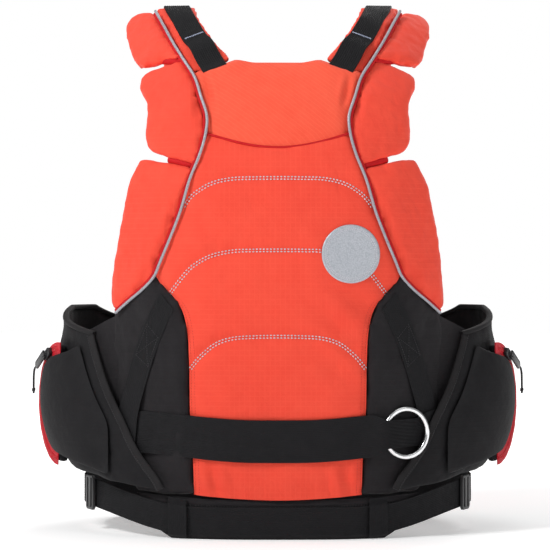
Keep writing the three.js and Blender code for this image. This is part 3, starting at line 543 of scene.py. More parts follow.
def stitch_tree():
    tree = bpy.data.node_groups.new("row_of_stitches", "GeometryNodeTree")
    group_socket(tree, "Seam", "NodeSocketGeometry")
    for name, value in (("Pitch", 0.003), ("Stitch length", 0.0021), ("Thread", 0.0006)):
        group_socket(tree, name, "NodeSocketFloat", value)
    group_socket(tree, "Thread finish", "NodeSocketMaterial")
    tree.interface.new_socket("Stitches", in_out="OUTPUT", socket_type="NodeSocketGeometry")
    given = node(tree, "NodeGroupInput").outputs
    line = node(tree, "GeometryNodeMeshToCurve", {0: given["Seam"]}).outputs[0]
    row = node(tree, "GeometryNodeResampleCurve", {"Curve": line, "Length": given["Pitch"]}, mode="LENGTH")
    bead = node(tree, "GeometryNodeMeshUVSphere", {"Segments": 6, "Rings": 4, "Radius": 0.5}).outputs["Mesh"]
    tangent = node(tree, "GeometryNodeInputTangent").outputs[0]
    along = node(tree, "FunctionNodeAlignRotationToVector", {"Vector": tangent}, axis="X").outputs[0]
    length, thick = given["Stitch length"], given["Thread"]
    size = node(tree, "ShaderNodeCombineXYZ", {0: length, 1: thick, 2: thick}).outputs[0]
    laid = node(tree, "GeometryNodeInstanceOnPoints", {"Points": row.outputs[0], "Instance": bead,
                                                       "Rotation": along, "Scale": size}).outputs[0]
    real = node(tree, "GeometryNodeRealizeInstances", {0: laid}).outputs[0]
    painted = node(tree, "GeometryNodeSetMaterial", {0: real, "Material": given["Thread finish"]}).outputs[0]
    node(tree, "NodeGroupOutput", {0: painted})
    return tree


row_of_stitches = stitch_tree()


def worked(mesh, tree, inputs):
    """The mesh that a Geometry Nodes tree makes from this one."""
    obj = loose(mesh)
    step = obj.modifiers.new("work", "NODES")
    step.node_group = tree
    keys = {s.name: s.identifier for s in tree.interface.items_tree if s.in_out == "INPUT"}
    for name, value in inputs.items():
        step[keys[name]] = value
    return applied(obj)


def thread(name, colour):
    finish, tree, shader = new_finish(name, 0.55)
    twist = node(tree, "ShaderNodeTexWave", {"Vector": place(tree), "Scale": 900.0},
                 bands_direction="DIAGONAL")
    dark = tuple(c * 0.6 for c in colour)
    tree.links.new(mixed(tree, twist.outputs["Fac"], dark, colour), shader.inputs["Base Color"])
    raised(tree, shader, twist.outputs["Fac"], 0.0001)
    return finish


def sew(name, lines, finish, body, pitch=3.0, length=2.1, thick=0.7):
    """Stitches along each line of points in millimetres."""
    points, edges = [], []
    for line in lines:
        edges += [(len(points) + k, len(points) + k + 1) for k in range(len(line) - 1)]
        points += [tuple(c * MM for c in p) for p in line]
    mesh = bpy.data.meshes.new(name)
    mesh.from_pydata(points, edges, [])
    inputs = {"Pitch": pitch * MM, "Stitch length": length * MM, "Thread": thick * MM,
              "Thread finish": finish}
    return new_piece(name, worked(mesh, row_of_stitches, inputs), finish, body)


def surface(*objs):
    """The faces of these pieces, to drop points on."""
    points, faces = [], []
    for obj in objs:
        start = len(points)
        points += [v.co.copy() for v in obj.data.vertices]
        faces += [[start + i for i in p.vertices] for p in obj.data.polygons]
    return BVHTree.FromPolygons(points, faces)


def dropped(tree, line, towards, lift=0.0):
    """The line's points in millimetres, each moved along `towards` until it meets the surface."""
    laid = []
    for p in line:
        start = (Vector(p) - Vector(towards) * 80) * MM
        hit = tree.ray_cast(start, Vector(towards), 0.2)[0]
        if hit is not None:
            laid.append(hit / MM - Vector(towards) * lift)
    return laid


pale_thread = thread("pale_thread", (0.80, 0.76, 0.82))
orange_thread = thread("orange_thread", (0.75, 0.035, 0.02))
black_thread = thread("black_thread", (0.035, 0.034, 0.038))
INTO_BACK = (0, 1, 0)
back_surface = surface(back_cover, yoke)
ROW_GAP = 2.6
quilt_rows = []
for line in quilting.values():
    outline = pattern_edge(*line)
    for off in (0, ROW_GAP):
        for sign in (1, -1):
            run = []
            for share in np.linspace(0, 1, 90):
                x, z = outline(share)
                ahead_x, ahead_z = outline(min(1, share + 0.02))
                back_x, back_z = outline(max(0, share - 0.02))
                slope = math.atan2(ahead_z - back_z, ahead_x - back_x)
                run.append((sign * (x + off * math.sin(slope)), -BACK_DEPTH, z - off * math.cos(slope)))
            quilt_rows.append(dropped(back_surface, run, INTO_BACK, 0.4))
sew("quilting_stitches", quilt_rows, pale_thread, "jacket", 3.5, 2.5, 1.45)
edge_rows = []
for inset, low in ((2.0, 0.60), (5.6, 0.60)):
    for sign in (1, -1):
        run = [(sign * (back_edge(s)[0] - inset), -BACK_DEPTH, back_edge(s)[1])
               for s in np.linspace(low, 0.995, 120)]
        edge_rows.append(dropped(back_surface, run, INTO_BACK, 0.02))
sew("centre_panel_topstitch", edge_rows, orange_thread, "jacket", 2.8, 2.0, 0.55)


# ---- Side pads of the back ----
# A black padded panel fills each flank between the centre panel and the side panel. It is foam in
# sewn cloth, so its rim is drawn in and its face is a little full.
def mirror_of(mesh):
    other = mesh.copy()
    other.transform(Matrix.Scale(-1, 4, (1, 0, 0)))
    other.flip_normals()
    return other


def sewn_pair(name, cad_name, mesh, finishes, bodies, seed=0.0, deep=0.5, size=18,
              sharp=None):
    """The wearer's right piece and its mirror image, each with wrinkles of its own."""
    made = {}
    for side, sign in SIDES.items():
        half = mesh.copy() if sign > 0 else mirror_of(mesh)
        crumpled(half, deep, size, seed + sign * 3)
        made[side] = new_piece(f"{name}_{side}", half, finishes, bodies.format(side),
                               [f"{cad_name}_{side}"] if cad_name else (), sharp=sharp)
    return made


flank_form = snug(stuffed(merged_copy("back_side_pad_right"), 1.2, 4.0, 1.6), "back_side_pad_right", 0.3)
sewn_pair("flank_pad", "back_side_pad", flank_form, black, "jacket", deep=1.5,
          size=24)


# ---- Foam flaps along the armholes ----
# Three orange foam pads a side hang from the armhole seam by their cloth. Each is a flat pillow with
# an orange face and a dark back, and bends out about its seam as the arm moves.
FLAP_BACK = 15  # from here on in, a flap shows its dark backing
for part, fill, seed in (("shoulder_flap", 0.7, 1.0), ("arm_flap", 0.75, 2.0), ("side_flap", 0.75, 4.0)):
    mesh = snug(stuffed(merged_copy(part + "_right"), 1.4, 3.6, 4.0), part + "_right", 0.7)
    flap = sewn_pair(part + "_pad", part, crumpled(mesh, 0.35, 8), [orange, lining],
                     part + "_{}", seed=seed, deep=1.5, size=28)
    for obj in flap.values():
        for face in obj.data.polygons:
            x, y, z = (c / MM for c in face.center)
            face.material_index = int(y > back_face(x, z) + FLAP_BACK)


# ---- Piping along the armhole seams ----
# Grey reflective cloth wrapped on a cord is caught in the seam between the panels and the flaps.
arm_seam = pattern_edge((134, 555), (124, 537), (114, 518), (102, 498), (89, 477), (82, 456), (75.5, 435),
                        (77, 415), (83, 394), (93, 369), (102, 338), (112, 312), (123, 286), (130, 270),
                        (142, 257), (158, 244), (172, 232))
PIPING = 4.0


def reflective_cloth(name, colour, light, cell):
    finish, tree, shader = new_finish(name, 0.38, 0.25)
    beads = node(tree, "ShaderNodeTexVoronoi", {"Vector": place(tree), "Scale": 1 / cell}).outputs["Distance"]
    tone = mixed(tree, beads, light, colour)
    worn = between(tree, blotches(tree, 0.01), 0, 0.5)
    tree.links.new(mixed(tree, worn, tone, colour), shader.inputs["Base Color"])
    tree.links.new(between(tree, beads, 0.3, 0.55), shader.inputs["Roughness"])
    raised(tree, shader, beads, 0.0002)
    return finish


piping_grey = reflective_cloth("piping_reflective", (0.30, 0.30, 0.335), (0.50, 0.50, 0.54), 0.0012)
for side, sign in SIDES.items():
    route = []
    for share in np.linspace(0, 1, 150):
        x, z = arm_seam(share)
        x -= PIPING / 2 + 0.5
        off = 1 + 1.4 * smooth(z, 480, 515)
        route.append((sign * x, back_face(x, z) - COVER_OUT - PIPING / 2 - off + 0.9, z))
    new_piece("piping_cord_" + side, tube_mesh("piping", route, PIPING / 2 - 0.5, 12), piping_grey, "jacket",
              ["piping_" + side])
    # A dark red tube along the seam beside the piping is painted shade in the seam's crease.
    tape = []
    for share in np.linspace(0.01, 0.99, 140):
        x, z = arm_seam(share)
        tape.append((sign * (x - 0.4), back_face(x, z) - 0.4, z))
    new_piece("piping_painted_shade_" + side, tube_mesh("tape", tape, 2.3, 8), painted_seam_shade, "jacket")
    # A short dark red tube of painted shade closes the notch between two flaps next to the seam.
    for number, ends in enumerate((((88, 384), (112, 391)), ((101, 495), (124, 497)))):
        (x0, z0), (x1, z1) = ends
        notch_shade = [(sign * lerp(x0, x1, t), back_face(lerp(x0, x1, t), lerp(z0, z1, t)) + 5.5, lerp(z0, z1, t))
                for t in np.linspace(0, 1, 16)]
        new_piece(f"flap_notch_fold_{number + 1}_{side}", tube_mesh("notch_shade", notch_shade, 4.0, 10), painted_seam_shade,
                  "jacket")


# ---- Shoulder straps ----
# A slim pad runs from the back over each shoulder. Ribbed webbing lies along it, sewn down by a pale
# bar tack, below which it stands up in a loop before it goes under the yoke.
def soft_line(corners, closed=False, steps=14):
    """Points on a smooth line through the corners."""
    p = [Vector(c) for c in corners]
    last = len(p) if closed else len(p) - 1
    line = []
    for k in range(last):
        p1, p2 = p[k], p[(k + 1) % len(p)]
        p0 = p[k - 1] if closed or k else p1 * 2 - p2
        p3 = p[(k + 2) % len(p)] if closed or k + 2 < len(p) else p2 * 2 - p1
        d0, d1, d2 = ((b - a).length ** 0.5 for a, b in ((p0, p1), (p1, p2), (p2, p3)))
        out = ((p1 - p0) / d0 - (p2 - p0) / (d0 + d1) + (p2 - p1) / d1) * d1
        back = ((p2 - p1) / d1 - (p3 - p1) / (d1 + d2) + (p3 - p2) / d2) * d1
        for t in np.arange(steps) / steps:
            line.append((2 * t**3 - 3 * t**2 + 1) * p1 + (t**3 - 2 * t**2 + t) * out
                        + (3 * t**2 - 2 * t**3) * p2 + (t**3 - t**2) * back)
    return line + ([] if closed else [p[-1]])


def measured(line):
    """The line as a function of a share of its length."""
    points = np.array([tuple(p) for p in line])
    gone = np.concatenate([[0], np.cumsum(np.linalg.norm(np.diff(points, axis=0), axis=1))])
    return lambda share: Vector([np.interp(share * gone[-1], gone, points[:, k]) for k in range(3)])


def on_back(rows):
    return [(x, back_face(x, z), z) for x, z in rows]


strap_inner = measured(soft_line(
    on_back([(46, 493), (56, 508), (66, 521), (74, 534), (82, 548)])
    + [(88, -14, 561), (91, 28, 560), (90, 66, 537), (84, 96, 502)]
    + [(x, front_face(x, z), z) for x, z in ((76, 460), (70, 431))]))
strap_outer = measured(soft_line(
    on_back([(88, 477.7), (100.8, 498), (112.6, 518), (122.6, 537), (131, 551)])
    + [(135, -8, 561), (137, 30, 556), (136, 64, 532), (130, 91, 498)]
    + [(x, front_face(x, z), z) for x, z in ((122, 460), (116, 431))]))


def strap_point(s, u):
    a, b = strap_inner(s), strap_outer(s)
    step = 0.01
    along = (strap_inner(min(1, s + step)) - strap_inner(max(0, s - step))
             + strap_outer(min(1, s + step)) - strap_outer(max(0, s - step))).normalized()
    lift = (b - a).cross(along)
    lift.x = 0
    lift.normalize()
    flat = Vector((0, -1 if s < 0.5 else 1, 0))
    free = smooth(s, 0, 0.12) * (1 - smooth(s, 0.88, 1))
    return a.lerp(b, u), flat.lerp(lift, free).normalized()


def rib_tree():
    tree = bpy.data.node_groups.new("webbing_ribs", "GeometryNodeTree")
    group_socket(tree, "Webbing", "NodeSocketGeometry")
    group_socket(tree, "Ribs", "NodeSocketFloat", 12.0)
    group_socket(tree, "Depth", "NodeSocketFloat", 0.0003)
    group_socket(tree, "Webbing finish", "NodeSocketMaterial")
    tree.interface.new_socket("Ribbed", in_out="OUTPUT", socket_type="NodeSocketGeometry")
    given = node(tree, "NodeGroupInput").outputs
    across = node(tree, "GeometryNodeInputNamedAttribute", {"Name": "across"}, data_type="FLOAT").outputs[0]
    outward = node(tree, "GeometryNodeInputNamedAttribute", {"Name": "outward"},
                   data_type="FLOAT_VECTOR").outputs[0]
    turn = maths(tree, "MULTIPLY", maths(tree, "MULTIPLY", across, given["Ribs"]), math.pi)
    height = maths(tree, "MULTIPLY", maths(tree, "ABSOLUTE", maths(tree, "SINE", turn)), given["Depth"])
    move = node(tree, "ShaderNodeVectorMath", {0: outward, 3: height}, operation="SCALE").outputs[0]
    made = node(tree, "GeometryNodeSetPosition", {"Geometry": given["Webbing"], "Offset": move}).outputs[0]
    whole = node(tree, "GeometryNodeRealizeInstances", {0: made}).outputs[0]
    finish = given["Webbing finish"]
    painted = node(tree, "GeometryNodeSetMaterial", {0: whole, "Material": finish}).outputs[0]
    node(tree, "NodeGroupOutput", {0: painted})
    return tree


webbing_ribs = rib_tree()


def webbing_finish(name, colour, light):
    finish, tree, shader = new_finish(name, 0.6)
    threads = woven(tree, 0.0009)
    tone = mixed(tree, maths(tree, "MULTIPLY", threads, 0.5), colour, light)
    tree.links.new(mixed(tree, between(tree, blotches(tree, 0.015, 4.0), 0.0, 0.35), tone, light),
                   shader.inputs["Base Color"])
    tree.links.new(between(tree, blotches(tree, 0.006), 0.6, 0.85), shader.inputs["Roughness"])
    shader.inputs["Specular IOR Level"].default_value = 0.2
    raised(tree, shader, threads, 0.00025)
    return finish


web_black = webbing_finish("black_webbing", (0.0052, 0.0050, 0.0057), (0.018, 0.0175, 0.020))


def ribbed_strap(name, face, ribs, along, body, stands_for, depth=0.35):
    """Webbing with ribs along it: face(u, v) gives its outer and inner point, u across it."""
    across = ribs * 4
    mesh = slab(name, face, across, along)
    count = (across + 1) * (along + 1)
    u = [(k % count) % (across + 1) / across for k in range(2 * count)]
    outward = np.zeros((2 * count, 3))
    co = np.array([v.co for v in mesh.vertices])
    out = co[:count] - co[count:]
    outward[:count] = out / np.maximum(np.linalg.norm(out, axis=1, keepdims=True), 1e-9)
    mesh.attributes.new("across", "FLOAT", "POINT").data.foreach_set("value", u)
    mesh.attributes.new("outward", "FLOAT_VECTOR", "POINT").data.foreach_set("vector", outward.ravel())
    mesh = worked(mesh, webbing_ribs, {"Ribs": float(ribs), "Depth": depth * MM, "Webbing finish": web_black})
    return new_piece(name, mesh, web_black, body, stands_for, sharp=60)


WEBBING = 2.0
RIB = 0.35  # how high a rib of the webbing stands
STRAP_MIDDLE = 0.46
pad_width = (strap_inner(0.3) - strap_outer(0.3)).length
web_half = 12.5 / pad_width
TACK = 0.152
STRAP_OFF = 1.2  # from the pad to the webbing
blue_thread = thread("tack_thread", (0.60, 0.66, 0.88))
strap_form = stuffed(merged_copy("shoulder_pad_right"), 1.0, 3.2, 1.2, 9)
strap_form = snug(strap_form, "shoulder_pad_right", 0.4, (2,))
sewn_pair("shoulder_pad_cover", "shoulder_pad", strap_form, orange, "jacket",
          deep=0.7, size=22)
for side, sign in SIDES.items():

    def strap_face(u, v):
        s = lerp(0.0, 0.93, v)
        point, normal = strap_point(s, lerp(STRAP_MIDDLE - web_half, STRAP_MIDDLE + web_half, u))
        bulge = 5.5 * math.exp(-(((s - 0.088) / 0.036) ** 2)) - 0.4 * math.exp(-(((s - TACK) / 0.01) ** 2))
        out, under = (point + normal * (off + bulge) for off in (STRAP_OFF + WEBBING - RIB, STRAP_OFF))
        return (sign * out.x, out.y, out.z), (sign * under.x, under.y, under.z)

    ribbed_strap("shoulder_webbing_strap_" + side, strap_face, 12, 150, "jacket",
                 ["shoulder_webbing_" + side], depth=0.5)
    tack = []
    for step in range(27):
        u = lerp(STRAP_MIDDLE - web_half * 0.85, STRAP_MIDDLE + web_half * 0.8, step / 26)
        point, normal = strap_point(TACK + (0.0018 if step % 2 else -0.0018), u)
        at = point + normal * (STRAP_OFF + WEBBING + 0.1)
        tack.append((sign * at.x, at.y, at.z))
    new_piece("bar_tack_" + side, tube_mesh("tack", tack, 0.55, 6), blue_thread, "jacket")


# ---- Harness straps ----
# Black webbing runs down each flank of the back and is sewn to it with a crossed box. The wearer's
# left one passes over the rescue belt and the right one under it.
harness_inner = pattern_edge((106.5, 236), (115, 219), (127.5, 187), (138.5, 152), (144.5, 129), (147, 109),
                             (149, 88))
harness_outer = pattern_edge((121, 253), (135.5, 226), (149.5, 190), (161, 150), (166, 128), (167.5, 108),
                             (168, 90))
WEB_IN = COVER_OUT + GAP
for side, sign in SIDES.items():
    up_low = 0 if side == "right" else 2.8 + 0.5

    def harness_face(u, v, lift=0.0):
        (ax, az), (bx, bz) = harness_inner(v), harness_outer(v)
        x, z = lerp(ax, bx, u), lerp(az, bz, u)
        off = WEB_IN + up_low * (1 - smooth(z, 134, 160))
        y = back_face(x, z) - off
        return (sign * x, y - WEBBING + 0.3 - lift, z), (sign * x, y, z)

    ribbed_strap("harness_webbing_" + side, harness_face, 11, 110, "jacket",
                 ["harness_strap_" + side])
    box = [(0.14, 0.22), (0.86, 0.20), (0.86, 0.40), (0.14, 0.42), (0.14, 0.22)]
    cross = [[(0.14, 0.22), (0.86, 0.40)], [(0.86, 0.20), (0.14, 0.42)]]
    rows = []
    for corners in [box, *cross]:
        row = []
        for (u0, v0), (u1, v1) in zip(corners, corners[1:]):
            row += [harness_face(lerp(u0, u1, t), lerp(v0, v1, t), 0.45)[0] for t in np.linspace(0, 1, 14)]
        rows.append(row)
    sew("harness_box_stitch_" + side, rows, black_thread, "jacket", 2.6, 1.9, 0.7)


# ---- Rescue belt, waist belt and tether ring ----
# The rescue belt is stiff ribbed webbing round the body, threaded through a steel ring on the back.
# The waist belt is softer, and two sewn loops hold it to the hem.
def belt_face(cad_node, level, closing=3.4):
    """The outer and inner face of a closed belt, dropped on its CAD form from all round."""
    form = merged_copy(cad_node)
    points = np.array([v.co for v in form.vertices]) / MM
    turn = np.arctan2(points[:, 1], points[:, 0])
    upper = np.array([z > level(x) for x, _, z in points])
    edges = []
    for which in (upper, ~upper):
        order = np.argsort(turn[which])
        t, z = turn[which][order], points[which][order][:, 2]
        edges.append((np.concatenate([t - 2 * math.pi, t, t + 2 * math.pi]), np.concatenate([z, z, z])))
    cast = BVHTree.FromPolygons([v.co for v in form.vertices], [list(p.vertices) for p in form.polygons])

    def hit(angle, z):
        start = Vector((math.cos(angle) * 400, math.sin(angle) * 400, z)) * MM
        found = cast.ray_cast(start, Vector((-math.cos(angle), -math.sin(angle), 0)))[0]
        return None if found is None else found / MM

    kept = {}

    def face(u, v):
        angle = math.radians(lerp(90 + closing, 450 - closing, v))
        local = (angle + math.pi) % (2 * math.pi) - math.pi
        if v not in kept:
            top, bottom = np.interp(local, *edges[0]), np.interp(local, *edges[1])
            high, low = hit(angle, top - 1.0), hit(angle, bottom + 1.0)
            ahead = hit(angle + 0.004, (top + bottom) / 2)
            behind = hit(angle - 0.004, (top + bottom) / 2)
            if None in (high, low, ahead, behind):
                kept[v] = kept[max(kept)]
            else:
                run = (ahead - behind).normalized()
                kept[v] = top - 0.2, bottom + 0.2, high, low, Vector((run.y, -run.x, 0)).normalized()
        top, bottom, high, low, out = kept[v]
        z = lerp(bottom, top, u)
        share = (z - low.z) / (high.z - low.z)
        x, y = lerp(low.x, high.x, share), lerp(low.y, high.y, share)
        return (x - out.x * RIB, y - out.y * RIB, z), (x - out.x * WEBBING, y - out.y * WEBBING, z)

    return face


def rescue_level(x):
    return 101.5 + 8 * smooth(abs(x), 20, 150)


def waist_level(x):
    return 19 + 22 * smooth(abs(x), 90, 215)


rescue_face = belt_face("rescue_belt", rescue_level)
waist_face = belt_face("waist_belt", waist_level)
ribbed_strap("rescue_webbing_belt", rescue_face, 24, 300, "jacket", ["rescue_belt"])
ribbed_strap("waist_webbing_belt", waist_face, 16, 260, "jacket", ["waist_belt"])

LOOP_X, LOOP_WIDE, WAIST = 103.5, 19, 30
for side, sign in SIDES.items():
    reach = WAIST / 2 + 0.8
    line = measured(soft_line([(0, reach + 7, WEB_IN), (0, reach + 2.4, WEB_IN),
                               (0, reach - 0.5, WEB_IN + 2.9), (0, 0, WEB_IN + 3.1),
                               (0, -reach + 0.5, WEB_IN + 2.9), (0, -reach - 2, WEB_IN)]))

    def loop_face(u, v):
        _, dz, out = line(v)
        x = LOOP_X + (u - 0.5) * LOOP_WIDE
        z = waist_level(x) + dz
        y = back_face(x, z)
        return (sign * x, y - out - WEBBING + 0.3, z), (sign * x, y - out, z)

    ribbed_strap("hem_loop_" + side, loop_face, 9, 60, "jacket", ["hem_belt_loop_" + side])


def brushed_steel(name):
    finish, tree, shader = new_finish(name, 0.2, 1.0)
    scratches = blotches(tree, 0.0015, 6.0)
    bright = mixed(tree, scratches, (0.78, 0.79, 0.80), (0.93, 0.93, 0.94))
    tree.links.new(bright, shader.inputs["Base Color"])
    tree.links.new(between(tree, scratches, 0.14, 0.32), shader.inputs["Roughness"])
    raised(tree, shader, scratches, 0.00004)
    return finish


steel = brushed_steel("ring_steel")
RING_CENTRE = Vector((131.9, -141.2, 108.9))
RING_AXIS = Vector((0.432, -0.902, 0)).normalized()
RING_MEAN, RING_WIRE = 24.7, 5.4
ring_side = Vector((RING_AXIS.y, -RING_AXIS.x, 0))
points, faces = [], []
AROUND, SECTION = 96, 18
for a in range(AROUND):
    turn = 2 * math.pi * a / AROUND
    spoke = ring_side * math.cos(turn) + Vector((0, 0, 1)) * math.sin(turn)
    weld = 0.14 * math.exp(-(((turn - 4.1) / 0.05) ** 2))
    for b in range(SECTION):
        roll = 2 * math.pi * b / SECTION
        off = spoke * math.cos(roll) + RING_AXIS * math.sin(roll)
        points.append(RING_CENTRE + spoke * RING_MEAN + off * (RING_WIRE / 2 - 0.12 + weld))
        faces.append((a * SECTION + b, a * SECTION + (b + 1) % SECTION,
                      (a + 1) % AROUND * SECTION + (b + 1) % SECTION, (a + 1) % AROUND * SECTION + b))
new_piece("tether_steel_ring", new_mesh("ring", points, faces), steel, "tether_ring",
          ["tether_ring"])


# ---- Hard plastic parts ----
# Moulded nylon: adjusters on the waist belt, ladder locks on the shoulder webbing, the quick release,
# the waist buckle, the lash tab and the zips' sliders and pulls. Their edges are rounded by the mould.
def moulded(name, colour, light, roughness=0.38):
    finish, tree, shader = new_finish(name, roughness)
    grain = blotches(tree, 0.0008, 2.0)
    tree.links.new(mixed(tree, blotches(tree, 0.01, 4.0), colour, light), shader.inputs["Base Color"])
    tree.links.new(between(tree, grain, roughness - 0.08, roughness + 0.14), shader.inputs["Roughness"])
    raised(tree, shader, grain, 0.00006)
    return finish


plastic = moulded("black_nylon", (0.010, 0.010, 0.011), (0.022, 0.022, 0.024))
red_plastic = moulded("red_nylon", (0.52, 0.010, 0.018), (0.66, 0.022, 0.03), 0.32)


def rounded_part(cad_node, body, finish, edge=0.6):
    mesh = merged_copy(cad_node)
    shell = bmesh.new()
    shell.from_mesh(mesh)
    bmesh.ops.dissolve_limit(shell, angle_limit=math.radians(3), verts=shell.verts, edges=shell.edges)
    shell.to_mesh(mesh)
    shell.free()
    obj = loose(mesh)
    bevel = obj.modifiers.new("mould_edge", "BEVEL")
    bevel.width = edge * MM
    bevel.segments = 3
    bevel.limit_method = "ANGLE"
    bevel.angle_limit = math.radians(25)
    return new_piece(cad_node + "_moulding", applied(obj), finish, body, [cad_node], sharp=50)


for side in SIDES:
    rounded_part("waist_adjuster_" + side, "waist_adjuster_" + side, plastic)
    rounded_part("shoulder_lock_" + side, "jacket", plastic)
    rounded_part("side_zip_slider_" + side, "side_zip_slider_" + side, plastic, 0.7)
    rounded_part("side_zip_pull_" + side, "side_zip_pull_" + side, plastic, 0.6)
rounded_part("release_frame", "jacket", plastic, 0.9)
rounded_part("release_lever", "release_lever", red_plastic, 1.4)
rounded_part("waist_buckle_socket", "jacket", plastic, 1.0)
rounded_part("waist_buckle_plug", "waist_buckle_plug", plastic, 0.7)
rounded_part("chest_zip_slider", "chest_zip_slider", plastic, 0.5)
rounded_part("chest_zip_pull", "chest_zip_pull", plastic, 0.5)
rounded_part("lash_tab", "jacket", plastic, 0.8)
ball = loose(merged_copy("release_ball"))
ball_fine = ball.modifiers.new("fine", "SUBSURF")
ball_fine.levels = ball_fine.render_levels = 1
new_piece("release_ball_toggle", applied(ball), red_plastic, "jacket", ["release_ball"])
tail = loose(merged_copy("release_tail"))
tail_soft = tail.modifiers.new("edge", "BEVEL")
tail_soft.width = 0.4 * MM
tail_soft.segments = 2
tail_soft.limit_method = "ANGLE"
new_piece("release_tail_webbing", applied(tail), web_black, "jacket", ["release_tail"],
          sharp=50)


# ---- Side panels, their binding and pockets ----
# A black padded panel wraps each side from the back to the front. Its back edge and top are bound
# with folded tape, and a pocket with a half-round zip stands out of it.
PANEL_ROUND = 2.3
binding_x = ((49, 114), (70, 130), (90, 147), (115, 157), (146, 174), (167, 182), (192, 190), (209, 195),
             (240, 200))
panel_top = ((0, 209), (0.2, 220), (0.45, 236), (0.7, 236), (1, 214))


def panel_half(z):
    return 259 - 0.0035 * (z - 143) ** 2


def panel_y(x, z):
    return -(174.5 - 0.245 * z) * max(0, 1 - (x / panel_half(z)) ** PANEL_ROUND) ** (1 / PANEL_ROUND)


def panel_point(turn, z, inset=0.0):
    half, deep = panel_half(z), 174.5 - 0.245 * z if turn < 0 else FRONT_DEPTH - 13
    x = half * math.cos(turn) ** (2 / PANEL_ROUND)
    y = deep * math.copysign(abs(math.sin(turn)) ** (2 / PANEL_ROUND), turn)
    power = PANEL_ROUND - 1
    out = Vector(((x / half) ** power / half, math.copysign((abs(y) / deep) ** power, y) / deep, 0))
    out = out.normalized()
    return Vector((x, y, z)) - out * inset


def turn_at(x, z):
    return math.acos(min(1, x / panel_half(z)) ** (PANEL_ROUND / 2))


def refined(cad_node, levels):
    """A CAD form with its facets smoothed away."""
    obj = loose(merged_copy(cad_node))
    fine = obj.modifiers.new("fine", "SUBSURF")
    fine.levels = fine.render_levels = levels
    return applied(obj)


sewn_pair("side_panel_cover", "side_panel", refined("side_panel_right", 2), wing_black,
          "jacket", seed=6.0, deep=1.3, size=34, sharp=70)
pocket_form = refined("side_pocket_right", 1)
co = np.array([v.co for v in pocket_form.vertices]) / MM
for v, (x, y, z) in zip(pocket_form.vertices, co):
    # The back edge runs out flat into the side panel instead of standing off it.
    back_rim = co[(abs(co[:, 2] - z) < 5) & (co[:, 1] < 0), 0]
    if y < 0 and len(back_rim):
        off = panel_y(x, z) - y
        flat = 1 - smooth(x, back_rim.min(), back_rim.min() + 30)
        v.co.y += max(0, off - 0.5) * flat * MM
sewn_pair("side_pocket_cover", "side_pocket", pocket_form, wing_black, "jacket",
          seed=8.0, deep=0.35, size=30, sharp=70)


def gusset(u, v):
    """Cloth from the flank pad's outer edge to the inside of the side panel's back edge."""
    low, high = 100, lerp(231, 212, u)
    z = lerp(low, high, v)
    x_wing = eased(binding_x, z) + 7
    x = lerp(165, max(x_wing, 170), u)
    y = lerp(back_face(165, z) + 3, panel_y(max(x_wing, 170), z) + 6, u) + 2.5 * math.sin(math.pi * u)
    y += 0.8 * wrinkle(x, z, 12, 7)
    return (x, y, z), (x, y + 1.4, z)


sewn_pair("flank_gusset", None, slab("gusset", gusset, 14, 50), black, "jacket", deep=0.2,
          seed=5.0, sharp=60)
binding_black = cloth("binding_black", (0.011, 0.010, 0.011), (0.007, 0.006, 0.007), (0.026, 0.024, 0.026),
                      ripstop=0.0, sheen=0.05, puckers=0.0004)


def folded_tape(name, route, normals, wide, thick, finish):
    """A flat folded tape with a rounded section along a route; normals point out of the cloth under it."""
    route, section = [Vector(p) for p in route], 14
    points, faces = [], []
    for k, centre in enumerate(route):
        along = (route[min(k + 1, len(route) - 1)] - route[max(k - 1, 0)]).normalized()
        out = (normals[k] - along * normals[k].dot(along)).normalized()
        flat = along.cross(out)
        for a in range(section):
            turn = 2 * math.pi * a / section
            bow = math.copysign(abs(math.cos(turn)) ** 0.45, math.cos(turn))
            points.append(centre + flat * bow * wide / 2 + out * math.sin(turn) * thick / 2)
    for k in range(len(route) - 1):
        for a in range(section):
            b = (a + 1) % section
            faces.append((k * section + a, k * section + b, (k + 1) * section + b, (k + 1) * section + a))
    faces += [tuple(range(section)), tuple(len(points) - 1 - a for a in range(section))]
    return new_piece(name, new_mesh(name, points, faces), finish, "jacket", sharp=70)


for side, sign in SIDES.items():
    route, normals = [], []
    for z in np.linspace(51, 207, 90):
        x = eased(binding_x, z) + 3.2
        turn = -turn_at(x, z)
        at, inner = panel_point(turn, z, -0.1), panel_point(turn, z, 3)
        route.append((sign * at.x, at.y, z))
        normals.append(Vector((sign * (at.x - inner.x), at.y - inner.y, 0)).normalized())
    folded_tape("wing_binding_" + side, route, normals, 8.6, 3.2, binding_black)
    stitches = [tuple(Vector(p) + n * 1.6) for p, n in zip(route, normals)]
    shifted = [(p[0] + sign * 3.0, panel_y(abs(p[0]) + 3.0, p[2]) - 1.7, p[2]) for p in stitches]
    sew("wing_binding_stitch_" + side, [shifted], black_thread, "jacket", 2.8, 2.0, 0.6)
    route, normals = [], []
    for u in np.linspace(0.0, 1.0, 120):
        z = np.interp(u, *zip(*panel_top)) + 0.5
        back_turn, front_turn = -turn_at(195, z), turn_at(150, z)
        at = panel_point(lerp(back_turn, front_turn, u), z, 3.0)
        route.append((sign * at.x, at.y, z))
        normals.append(Vector((0, 0, 1)))
    folded_tape("wing_top_roll_" + side, route, normals, 7.0, 5.0, binding_black)

# The zip's round stands upright on the outside of the pocket.
ZIP_CENTRE = Vector((234.477, -53.782, 134.3))
ZIP_OUT = Vector((0.912, -0.411, 0)).normalized()
ZIP_AHEAD = Vector((0.411, 0.912, 0)).normalized()
ZIP_RADIUS, ZIP_INNER, ZIP_TAPE = 59, 53, 10
red_tape = cloth("red_zip_tape", (0.60, 0.008, 0.022), (0.42, 0.004, 0.014), (0.78, 0.03, 0.05),
                 roughness=0.6, ripstop=0.15, puckers=0.0004)
red_teeth = moulded("red_teeth", (0.45, 0.006, 0.016), (0.7, 0.02, 0.03), 0.4)


